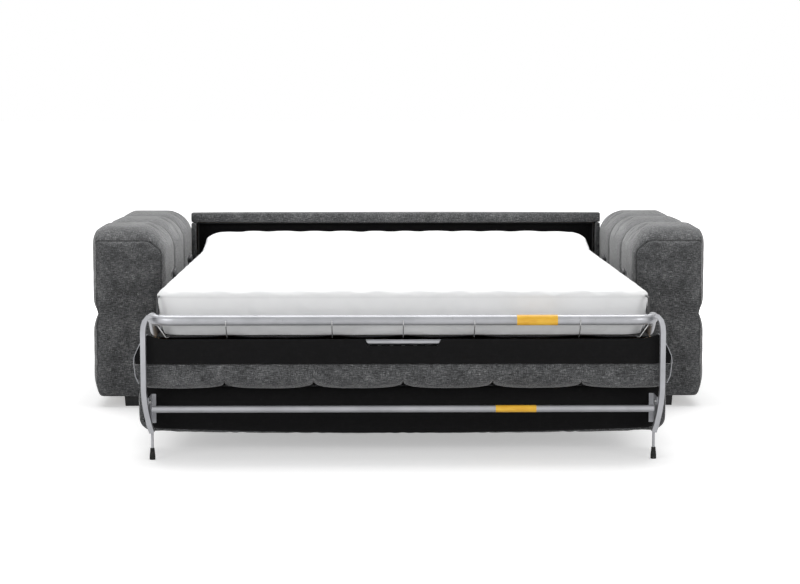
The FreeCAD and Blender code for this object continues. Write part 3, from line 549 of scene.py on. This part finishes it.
def line_recess(a, b, points):
    """The cloth turns from one side wall over the rear board to the other side wall."""
    s = a * recess_flat
    x = np.clip(s - recess_depth, 0, recess_width) - recess_width / 2
    y = np.where(s < recess_depth, lining_low.y + s,
                 np.where(s > recess_depth + recess_width,
                          lining_high.y - (s - recess_depth - recess_width), lining_high.y))
    ripple = 0.0025 * np.sin(s * 21) * np.sin(b * 5.2) + 0.0015 * np.sin(s * 47 + b * 9)
    y = y - 0.004 - (np.abs(x) < recess_width / 2 - 0.01) * (0.003 + ripple)
    x = x * (1 - 0.006 / recess_width * 2)
    return np.stack([x, np.maximum(y, lining_low.y), lining_low.z + b * recess_height - 0.001], 1)


recess_cloth = sheet_grid("recess_lining", (0, 0, 0), (1, 0, 0), (0, 0, 1), (recess_flat, recess_height),
                          (180, 40), line_recess)
top_strip = sheet_grid(
    "recess_top", (-recess_width / 2 + 0.002, lining_low.y, lining_high.z - 0.002), (1, 0, 0), (0, 1, 0),
    (recess_width - 0.004, recess_depth - 0.006), (60, 4))
thicken(recess_cloth, lining)
thicken(top_strip, lining)
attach(recess_cloth, "root")
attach(top_strip, "root")
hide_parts("back_lining")

# ---- Pivot plates, pins and links
# Pressed steel plates screwed to the arms carry the main pivots; links of the same plate
# keep the head half level. Dark grey powder coat on plates and pins; hooks and bolts are zinc.

plate = Finish("dark_coated_plate", Roughness=0.45, Metallic=0.3)
peel = plate.grain(plate.place(), 700, 2.0, 0.5)
rub = plate.grain(plate.place(), 34, 4.0, 0.65)
plate.feed(
    Base_Color=plate.ramp(rub, [(0.4, (0.05, 0.05, 0.053)), (0.6, (0.08, 0.08, 0.084)),
                                (0.78, (0.2, 0.2, 0.21))]),
    Roughness=0.34 + rub * 0.25, Normal=plate.bump(peel, 0.0003, 0.3))
zinc = Finish("zinc_plated_steel", Roughness=0.32, Metallic=1.0)
turned = zinc.grain(zinc.place((40, 900, 900)), 1.0, 2.0, 0.5)
bloom = zinc.grain(zinc.place(), 120, 3.0, 0.6)
zinc.feed(Base_Color=zinc.ramp(bloom, [(0.35, (0.46, 0.46, 0.45)), (0.65, (0.68, 0.68, 0.69))]),
          Roughness=0.22 + turned * 0.22, Normal=zinc.bump(turned, 0.0002, 0.35))
dress(plate, *[part + side for part in ("wall_plate", "guide_link", "swing_plate", "fold_ear", "guide_bracket")
               for side in ("_right", "_left")],
      "swing_plate_spacers", "seat_blocks", "flap_hinge_plate", "flap_hinge_leaf", "mattress_loops",
      "main_pins", "link_pins", "wall_plate_screws", "fold_pins", "guide_pins")
dress(zinc, "bracket_bolts", "deck_hooks", "deck_corner_hooks")

# ---- Bed frames, legs and tubes
# Bent round steel tube and pressed channel, sprayed silver grey; the coat is slightly
# pebbled and rubbed thin in scattered patches.

silver = Finish("silver_powder_coat", Roughness=0.36, Metallic=0.7, Coat_Weight=0.15, Coat_Roughness=0.3)
pebble = silver.grain(silver.place(), 950, 2.0, 0.55)
drift = silver.grain(silver.place(), 9, 3.0, 0.6)
chip = silver.grain(silver.place((30, 30, 30)), 1.0, 5.0, 0.7)
coat = silver.ramp(drift, [(0.35, (0.40, 0.405, 0.425)), (0.65, (0.50, 0.505, 0.53))])
silver.feed(
    Base_Color=silver.mix(((chip - 0.66) * 14).kept() * 0.5, coat, grey(0.24)),
    Roughness=0.30 + drift * 0.12 + pebble * 0.06,
    Normal=silver.bump(pebble, 0.00025, 0.35))
dress(silver, "foot_frame", "foot_cross_tube", "head_frame", "head_cross_tube", "leg_rods",
      "lower_cross_tube", "grip_tube")

leg_low, leg_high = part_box("leg_right")
LEG_WALL, SHARP = 0.0025, 0.6
LEG_LINE = [(0.728, 0.079, 0.015), (0.735, 0.10, 0.015), (0.742, 0.13, 0.015), (0.748, 0.165, 0.015),
            (0.751, 0.20, 0.015), (0.7515, 0.37, 0.015), (0.750, 0.388, 0.015), (0.7455, 0.404, 0.014),
            (0.738, 0.4145, 0.012), (0.7265, 0.4195, 0.009)]


def pressed(name, rings):
    """Sheet steel form through equal rings of points, with softened edges."""
    count, around = len(rings), len(rings[0])
    faces = [(i * around + j, i * around + (j + 1) % around,
              (i + 1) * around + (j + 1) % around, (i + 1) * around + j)
             for i in range(count - 1) for j in range(around)]
    faces += [tuple(reversed(range(around))), tuple((count - 1) * around + j for j in range(around))]
    mesh = bpy.data.meshes.new(name)
    mesh.from_pydata([p for ring in rings for p in ring], [], faces)
    work = bmesh.new()
    work.from_mesh(mesh)
    bmesh.ops.recalc_face_normals(work, faces=work.faces)
    bmesh.ops.bevel(work, geom=[e for e in work.edges if e.calc_face_angle(0) > SHARP], offset=0.0006,
                    segments=2, affect="EDGES", clamp_overlap=True)
    work.to_mesh(mesh)
    work.free()
    mesh.polygons.foreach_set("use_smooth", [True] * len(mesh.polygons))
    mesh.set_sharp_from_angle(angle=SHARP)
    mesh.materials.append(silver.owner)
    made = bpy.data.objects.new(name, mesh)
    scene.collection.objects.link(made)
    return made


def channel(name, line, near_y, far_y, wall):
    """Pressed channel, open at the back, along a line of (x, z, width)."""
    line = np.array(line)
    depth = far_y - near_y
    run = np.gradient(line[:, :2], axis=0)
    run /= np.linalg.norm(run, axis=1)[:, None]
    side = np.stack([run[:, 1], -run[:, 0]], 1)
    rings = []
    for (px, pz, width), (sx, sz) in zip(line, side):
        half = width / 2
        section = [(-half, 0), (half, 0), (half, depth), (half - wall, depth), (half - wall, wall),
                   (wall - half, wall), (wall - half, depth), (-half, depth)]
        rings.append([(px + u * sx, near_y + v, pz + u * sz) for u, v in section])
    return pressed(name, rings)


leg = channel("leg_channel_right", LEG_LINE, leg_low.y, leg_high.y, LEG_WALL)
bracket_low, bracket_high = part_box("rest_bracket_right")
WEB_FACE, FLANGE, SHEET = bracket_high.x, 0.015, 0.003
angle_plan = [(WEB_FACE - SHEET, bracket_low.y), (WEB_FACE, bracket_low.y), (WEB_FACE, bracket_high.y),
              (WEB_FACE - FLANGE, bracket_high.y), (WEB_FACE - FLANGE, bracket_high.y - SHEET),
              (WEB_FACE - SHEET, bracket_high.y - SHEET)]
bracket = pressed("rest_angle_right", [[(px, py, pz) for px, py in angle_plan]
                                       for pz in np.linspace(bracket_low.z, bracket_high.z, 5)])
for source, label, node in ((leg, "leg_channel_left", "leg_"), (bracket, "rest_angle_left", "rest_bracket_")):
    for piece, side in ((source, "right"), (mirrored(source, label), "left")):
        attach(piece, "foot_half")
        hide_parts(node + side)

rubber = Finish("black_rubber_tip", Roughness=0.75, Specular_IOR_Level=0.3)
bloomed = rubber.grain(rubber.place(), 160, 3.0, 0.6)
rubber.feed(Base_Color=rubber.ramp(bloomed, [(0.4, (0.010, 0.010, 0.010)), (0.75, (0.035, 0.035, 0.034))]),
            Roughness=0.66 + bloomed * 0.2, Normal=rubber.bump(bloomed, 0.0005, 0.4))
dress(rubber, "leg_tips")

band = Finish("yellow_film_band", Roughness=0.35, Coat_Weight=0.3, Coat_Roughness=0.15)
film = band.grain(band.place((18, 90, 90)), 1.0, 3.0, 0.6)
band.feed(Base_Color=band.ramp(film, [(0.35, (0.83, 0.42, 0.02)), (0.65, (0.95, 0.56, 0.045))]),
          Roughness=0.28 + film * 0.2, Normal=band.bump(film, 0.0003, 0.3))
dress(band, "plain_bands")

# ---- Decks
# Black woven cloth stretched inside each tube frame; wire hooks pull its hem to the foot bar.

foot_low, foot_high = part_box("foot_deck")
head_low, head_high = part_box("head_deck")
hook_places = [-0.511, -0.206, 0, 0.206, 0.511]


def foot_deck_drape(a, b, points):
    """Level under the mattress; the hem rises a little at each hook."""
    x = points[:, 0]
    peak = sum(np.exp(-((x - place) / 0.05) ** 2) for place in hook_places)
    hem = np.clip(1 - b * 14, 0, 1) ** 1.5
    points[:, 2] += hem * (0.006 * peak - 0.003) + 0.0006 * np.sin(x * 60) * hem
    points[:, 1] += hem * 0.003 * (1 - peak)
    return points


deck_mid = (foot_low.z + foot_high.z) / 2
foot_size = (foot_high.x - foot_low.x, foot_high.y - foot_low.y)
foot_cloth = sheet_grid("foot_deck_cloth", (foot_low.x, foot_low.y, deck_mid), (1, 0, 0), (0, 1, 0),
                        foot_size, (110, 60), foot_deck_drape)
head_size = (head_high.x - head_low.x, head_high.y - head_low.y)


def head_deck_cut(a, b, points):
    """Corners cut back where the tube bends."""
    far = np.clip((points[:, 1] - (head_high.y - 0.055)) / 0.055, 0, 1)
    points[:, 0] *= 1 - far * 0.045 / (head_size[0] / 2)
    return points


head_cloth = sheet_grid("head_deck_cloth", (head_low.x, head_low.y, deck_mid), (1, 0, 0), (0, 1, 0),
                        head_size, (60, 40), head_deck_cut)
for cloth, body, node, size, under_it in (
        (foot_cloth, "foot_half", "foot_deck", foot_size, "foot_frame"),
        (head_cloth, "head_half", "head_deck", head_size, "head_frame")):
    thicken(cloth, lining, 0.002)
    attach(cloth, body)
    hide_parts(node)

# ---- Mattress
# One foam mattress in white quilted ticking, bent by its own softness over the fold in the real bed; here it
# is one unjointed piece. A border strip is sewn round it, and wavy quilting runs from head to foot.

ticking = Finish("white_quilted_ticking", Roughness=0.85, Sheen_Weight=0.2, Sheen_Roughness=0.4,
                 Specular_IOR_Level=0.3)
knit = ticking.grain(ticking.place((520, 900, 1), CLOTH), 1.0, 2.0, 0.5)
soft = ticking.grain(ticking.place((1, 1, 1), CLOTH), 14, 3.0, 0.5)
mat_seam_shade = ticking.node("ShaderNodeAttribute", {"attribute_name": "seam"}, {}, "Fac")
white = ticking.ramp(soft * 0.6 + knit * 0.4, [(0.3, (0.84, 0.845, 0.85)), (0.7, (0.90, 0.903, 0.906))])
# Painted shade: along the border seam the white ticking is mixed towards grey, standing in for the shade in the
# seam crease.
ticking.feed(Base_Color=ticking.mix((mat_seam_shade * 0.35).kept(), white, grey(0.55)),
             Roughness=0.78 + knit * 0.15,
             Normal=ticking.bump(knit + soft * 0.3, 0.0009, 0.5))

MAT_SPREAD = 0.012
mf_low, mf_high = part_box("mattress_foot")
mh_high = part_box("mattress_head")[1]
MAT_SEAM, MAT_CREST, MAT_RISE = mf_low.z + 0.112, mf_low.z + 0.127, 0.046
mat_low = (mf_low.x - MAT_SPREAD, mf_low.y, mf_low.z)
mat_top = (mf_high.x + MAT_SPREAD, mh_high.y, MAT_CREST)
mattress = block("mattress", stations(mat_low[0], mat_top[0], 0.0185),
                 stations(mat_low[1], mat_top[1], 0.0185), stations(mat_low[2], mat_top[2], 0.0135, [MAT_SEAM]))
rest = points_of(mattress)
x, y, z = rest.T
fx, fy = rounded(x, y, mat_low[:2], mat_top[:2], (0.06, 0.06, 0.125, 0.125))
edge = np.minimum(mat_top[0] - np.abs(x), np.minimum(y - mat_low[1], mat_top[1] - y))
top = np.clip((z - MAT_SEAM) / (MAT_CREST - MAT_SEAM), 0, 1)
border = np.clip((z - mat_low[2]) / (MAT_SEAM - mat_low[2]), 0, 1)
centre = np.array([0, (mat_low[1] + mat_top[1]) / 2])
squeeze = 0.020 * (1 - border) ** 1.5 + 0.012 * top ** 2
shape_in = 1 - squeeze[:, None] / np.array([mat_top[0], (mat_top[1] - mat_low[1]) / 2])
flat = (np.stack([fx, fy], 1) - centre) * shape_in + centre
on_top = near(z, MAT_CREST)
wave = (x + 0.022 * np.sin((y - mat_low[1]) * 2 * np.pi / 0.31)) / 0.118
valley = np.abs(wave - np.round(wave)) * 0.118
quilt = np.exp(-(valley / 0.015) ** 2)
lift = np.where(on_top, 0.006 * np.clip(edge / 0.12, 0, 1) ** 0.6
                - 0.006 * quilt * np.clip(edge / 0.05, 0, 1), 0)
rise = np.clip((y - (mat_top[1] - 0.34)) / 0.34, 0, 1)
rise = rise * rise * (3 - 2 * rise)
side_wave = (np.where(near(np.abs(x), mat_top[0], 0.002), y, x) + 0.012 * np.sin(z * 60)) / 0.15
side_valley = np.abs(side_wave - np.round(side_wave)) * 0.15
dent = 0.0035 * np.exp(-(side_valley / 0.012) ** 2) * puff(border, 0.4) * (1 - on_top)
points = np.stack([flat[:, 0], flat[:, 1], z + lift + MAT_RISE * rise], 1)
move_points(mattress, points)
sink(mattress, dent / 0.0035, 0.0035)
mat_seam = near(z, MAT_SEAM) & (edge < 0.001)
sink(mattress, mat_seam, 0.0025)
# Painted shade weight along the border seam, darkened by the ticking finish.
set_seam_shade(mattress, mat_seam * 0.45)
swell(mattress, mat_seam | near(z, mat_low[2]) | (on_top & (quilt > 0.7)), 0.004, 0.006)
settle(mattress, ticking)
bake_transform(mattress)
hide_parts("mattress_foot", "mattress_head")

# ---- Seat
# A board tray padded on its seating side, upside down while the bed is open; the weave is
# sewn into six channels, and black cloth closes the end that faces the foot.

seat_low, seat_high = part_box("seat_cushion")
seat_seams = [seat_low.x + (seat_high.x - seat_low.x) * n / 6 for n in range(1, 6)]
seat = block("seat_pad", stations(seat_low.x, seat_high.x, 0.0135, seat_seams),
             stations(seat_low.y, seat_high.y, 0.0145), stations(seat_low.z, seat_high.z, 0.012))
rest = points_of(seat)
x, y, z = rest.T
share = (x - seat_low.x) / (seat_high.x - seat_low.x)
channel_rise = puff(share * 6 % 1, 0.3)
channel_rise[near(share, 0) | near(share, 1)] = 0.0
fx, fz = rounded(x, z, (seat_low.x, seat_low.z), (seat_high.x, seat_high.z), (0.036, 0.036, 0.01, 0.01))
fy, fz2 = rounded(y, z, (seat_low.y, seat_low.z), (seat_high.y, seat_high.z), (0.03, 0.034, 0.006, 0.006))
fz = np.maximum(fz, fz2)
down = 1 - (z - seat_low.z) / (seat_high.z - seat_low.z)
fz += down ** 1.5 * 0.013 * (1 - channel_rise)
end_puff = puff((z - seat_low.z) / (seat_high.z - seat_low.z), 0.5)
fy += np.where(y < seat_low.y + 0.06, 0.004 * (1 - end_puff) * (1 - (y - seat_low.y) / 0.06), 0)
move_points(seat, np.stack([fx, fy, fz], 1))
seat_seam = np.zeros(len(x), bool)
for seam in seat_seams:
    seat_seam |= near(x, seam) & near(z, seat_low.z)
sink(seat, seat_seam, 0.003)
# Painted shade: the channel seams are weighted so that the finish darkens them as shade in their creases.
set_seam_shade(seat, seat_seam)
swell(seat, seat_seam | near(z, seat_high.z), 0.005)
settle(seat, upholstery)
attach(seat, "foot_half")
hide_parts("seat_cushion")
nose_low, nose_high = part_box("seat_nose_pad")
nose = pad_box("seat_nose", nose_low, nose_high, 0.014, (0.004, 0.004, 0.008, 0.008))
set_seam_shade(nose, np.zeros(len(nose.data.vertices)))
settle(nose, upholstery)
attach(nose, "foot_half")
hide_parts("seat_nose_pad")
dress(board, "seat_base", "backrest_board")

end_low, end_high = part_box("seat_end_lining")
end_size = (end_high.x - end_low.x, end_high.z - end_low.z)
end_rest = (end_low.y + end_high.y) / 2


def end_drape(a, b, points):
    """The top edge dips for the grip bar and slopes to the corners."""
    x = points[:, 0]
    reach = np.abs(x)
    top_edge = np.interp(reach, [0, 0.104, 0.106, 0.689, 0.700, 0.742, 0.764, 0.780],
                         [0.329, 0.329, 0.349, 0.349, 0.350, 0.362, 0.333, 0.296])
    base = end_low.z + 0.02 * np.clip((reach - 0.775) / 0.005, 0, 1)
    points[:, 2] = base + b * (top_edge - base)
    points[:, 1] = end_rest + 0.0012 * np.sin(x * 34 + b * 3) * np.sin(b * 3.1) - 0.0008 * np.sin(x * 90)
    return points


end_cloth = sheet_grid("seat_end_cloth", (end_low.x, end_rest, end_low.z), (1, 0, 0), (0, 0, 1),
                       end_size, (312, 12), end_drape)
thicken(end_cloth, lining)
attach(end_cloth, "foot_half")
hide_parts("seat_end_lining")
tray_low, tray_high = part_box("seat_base")
tray_size = (tray_high.x - tray_low.x, tray_high.z - tray_low.z - 0.002)
tray_cloth = sheet_grid("seat_tray_cloth", (tray_low.x, tray_low.y - 0.0012, tray_low.z + 0.001),
                        (1, 0, 0), (0, 0, 1), tray_size, (80, 4))
thicken(tray_cloth, lining)
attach(tray_cloth, "foot_half")

# ---- Backrest
# A board with foam on one face, hung upside down under the seat's foot end; the weave wraps
# its cheeks and lower edge, and black cloth covers the bare face that is seen from the foot.

rest_low, rest_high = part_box("backrest_cushion")
rest_seams = [rest_low.x + (rest_high.x - rest_low.x) * n / 6 for n in range(1, 6)]
backrest = block("backrest_pad", stations(rest_low.x, rest_high.x, 0.0135, rest_seams),
                 stations(rest_low.y, rest_high.y, 0.013), stations(rest_low.z, rest_high.z, 0.0125))
rest = points_of(backrest)
x, y, z = rest.T
share = (x - rest_low.x) / (rest_high.x - rest_low.x)
channel_rise = puff(share * 6 % 1, 0.4)
channel_rise[near(share, 0) | near(share, 1)] = 0.0
fx, fz = rounded(x, z, (rest_low.x, rest_low.z), (rest_high.x, rest_high.z), (0.04, 0.04, 0.012, 0.012))
fy, fz2 = rounded(y, z, (rest_low.y, rest_low.z), (rest_high.y, rest_high.z), (0.006, 0.036, 0.03, 0.006))
fz = np.where(np.abs(fz2 - z) > np.abs(fz - z), fz2, fz)
back_face = np.clip((y - rest_low.y) / (rest_high.y - rest_low.y), 0, 1)
fy -= back_face ** 2 * 0.014 * (1 - channel_rise)
fz += np.clip(1 - (z - rest_low.z) / 0.05, 0, 1) * 0.008 * np.abs(x / rest_high.x) ** 2.5
move_points(backrest, np.stack([fx, fy, fz], 1))
rest_seam = np.zeros(len(x), bool)
for seam in rest_seams:
    rest_seam |= near(x, seam) & near(y, rest_high.y)
sink(backrest, rest_seam, 0.003)
# Painted shade: the channel seams are weighted so that the finish darkens them as shade in their creases.
set_seam_shade(backrest, rest_seam)
swell(backrest, rest_seam | near(y, rest_low.y) | near(z, rest_high.z), 0.005)
settle(backrest, upholstery)
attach(backrest, "foot_half")
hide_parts("backrest_cushion")

cover_low, cover_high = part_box("backrest_lining")
COVER_DROP = 0.009
cover_size = (cover_high.x - cover_low.x, cover_high.z - cover_low.z + COVER_DROP)
cover_y = (cover_low.y + cover_high.y) / 2


def cover_drape(a, b, points):
    x = points[:, 0]
    reach = np.abs(x)
    corner_rise = np.clip((reach - 0.72) / 0.045, 0, 1) ** 2 * 0.022
    low_edge = cover_low.z - COVER_DROP + 0.016 * (reach / cover_high.x) ** 2 + corner_rise
    points[:, 2] = low_edge + b * (cover_high.z - low_edge)
    points[:, 1] = cover_y + 0.0012 * np.sin(x * 27 + b * 4) * np.sin(b * 3.1)
    return points


cover_cloth = sheet_grid("backrest_cloth", (cover_low.x, cover_y, cover_low.z), (1, 0, 0), (0, 0, 1),
                         cover_size, (160, 20), cover_drape)
thicken(cover_cloth, lining)
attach(cover_cloth, "foot_half")
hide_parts("backrest_lining")

# ---- Front flap
# A padded board on a long hinge at the seat's front edge; it hangs and hides the folded bed.

flap_low, flap_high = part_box("front_flap")
flap = pad_box("front_flap_pad", flap_low, flap_high, 0.014, (0.01, 0.01, 0.004, 0.004), bulge=0.004)
set_seam_shade(flap, np.zeros(len(flap.data.vertices)))
settle(flap, upholstery)
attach(flap, "front_flap")
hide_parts("front_flap")

# ---- Stitches and staples
# Lock stitches on both sides of each sewn roll of the arms and seat, wire staples that hold
# the black cloth to the seat tray, and the corded edge of the seat's end.

yarn_finish = Finish("sewing_thread", Base_Color=grey(0.05), Roughness=0.8, Sheen_Weight=0.2)
ply = yarn_finish.grain(yarn_finish.place((900, 900, 900)), 1.0, 2.0, 0.6)
yarn_finish.feed(Base_Color=yarn_finish.ramp(ply, [(0.35, (0.02, 0.02, 0.021)), (0.7, (0.09, 0.09, 0.093))]),
                 Roughness=0.7 + ply * 0.2)

rows = bpy.data.node_groups.new("rows_along_lines", "GeometryNodeTree")
for name, kind in (("Geometry", "NodeSocketGeometry"), ("Pitch", "NodeSocketFloat"),
                   ("Length", "NodeSocketFloat"), ("Radius", "NodeSocketFloat"),
                   ("Material", "NodeSocketMaterial")):
    rows.interface.new_socket(name=name, in_out="INPUT", socket_type=kind)
rows.interface.new_socket(name="Geometry", in_out="OUTPUT", socket_type="NodeSocketGeometry")
step_in, step_out = rows.nodes.new("NodeGroupInput"), rows.nodes.new("NodeGroupOutput")
to_curve = rows.nodes.new("GeometryNodeMeshToCurve")
to_points = rows.nodes.new("GeometryNodeCurveToPoints")
to_points.mode = "LENGTH"
one_stitch = rows.nodes.new("GeometryNodeMeshCylinder")
one_stitch.inputs["Vertices"].default_value = 6
spread = rows.nodes.new("GeometryNodeInstanceOnPoints")
real = rows.nodes.new("GeometryNodeRealizeInstances")
coloured = rows.nodes.new("GeometryNodeSetMaterial")
for a, out, b, into in (
        (step_in, "Geometry", to_curve, "Mesh"), (to_curve, "Curve", to_points, "Curve"),
        (step_in, "Pitch", to_points, "Length"), (step_in, "Radius", one_stitch, "Radius"),
        (step_in, "Length", one_stitch, "Depth"), (to_points, "Points", spread, "Points"),
        (to_points, "Rotation", spread, "Rotation"), (one_stitch, "Mesh", spread, "Instance"),
        (spread, "Instances", real, "Geometry"), (real, "Geometry", coloured, "Geometry"),
        (step_in, "Material", coloured, "Material"), (coloured, "Geometry", step_out, "Geometry")):
    rows.links.new(a.outputs[out], b.inputs[into])


def sew(name, lines, finish, body, pitch=0.0065, length=0.0042, radius=0.00045):
    """Rows of stitches along lines of points, made a plain mesh."""
    points, edges = [], []
    for line in lines:
        first = len(points)
        points += [tuple(p) for p in line]
        edges += [(n, n + 1) for n in range(first, len(points) - 1)]
    mesh = bpy.data.meshes.new(name)
    mesh.from_pydata(points, edges, [])
    made = bpy.data.objects.new(name, mesh)
    scene.collection.objects.link(made)
    layer = made.modifiers.new("rows", "NODES")
    layer.node_group = rows
    sockets = {item.name: item.identifier for item in rows.interface.items_tree if item.in_out == "INPUT"}
    for socket, value in (("Pitch", pitch), ("Length", length), ("Radius", radius),
                          ("Material", finish.owner)):
        layer[sockets[socket]] = value
    result = bpy.data.meshes.new_from_object(made.evaluated_get(bpy.context.evaluated_depsgraph_get()))
    made.modifiers.clear()
    made.data = result
    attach(made, body)


def on_surface(piece, starts, aims):
    """Where rays meet a piece, a hair above its surface."""
    tree = BVHTree.FromPolygons([v.co for v in piece.data.vertices],
                                [p.vertices for p in piece.data.polygons])
    hits = [tree.ray_cast(Vector(start), Vector(aim)) for start, aim in zip(starts, aims)]
    return [hit[0] + hit[1] * 0.0003 for hit in hits if hit[0]]


STITCH_SIDE = 0.0075
heart = ((inner + outer) / 2, 0.42)
for piece, turn, side in ((arm, 1, "right"), (arm_left, -1, "left")):
    lines = []
    for seam in roll_seams:
        for step in (-STITCH_SIDE, STITCH_SIDE):
            angles = np.linspace(-0.95, np.pi + 0.95, 160)
            aims = [(-turn * math.cos(a), 0, -math.sin(a)) for a in angles]
            starts = [(turn * heart[0] - aim[0] * 0.6, seam + step, heart[1] - aim[2] * 0.6) for aim in aims]
            lines.append(on_surface(piece, starts, aims))
    sew("arm_stitches_" + side, lines, yarn_finish, "root")
seat_lines = []
for seam in seat_seams:
    for step in (-STITCH_SIDE, STITCH_SIDE):
        ys = np.linspace(seat_low.y + 0.02, seat_high.y - 0.02, 140)
        seat_lines.append(on_surface(seat, [(seam + step, v, 0.0) for v in ys], [(0, 0, 1)] * len(ys)))
sew("seat_stitches", seat_lines, yarn_finish, "foot_half")
staple_z = tray_high.z - 0.006
tray_face = tray_low.y - 0.0026
staple_xs = np.linspace(tray_low.x + 0.02, tray_high.x - 0.02, 60)
sew("seat_staples", [[(v, tray_face, staple_z) for v in staple_xs]], zinc, "foot_half",
    0.034, 0.011, 0.0005)
edge_line = [(0.742, 0.363), (0.756, 0.348), (0.768, 0.325), (0.779, 0.300), (0.781, 0.282), (0.779, 0.262),
             (0.776, 0.240), (0.768, 0.222)]
piping = [[(turn * px, end_low.y - 0.001, pz) for px, pz in edge_line] for turn in (1, -1)]
sew("seat_end_piping", piping, silver, "foot_half", 0.004, 0.0046, 0.0012)
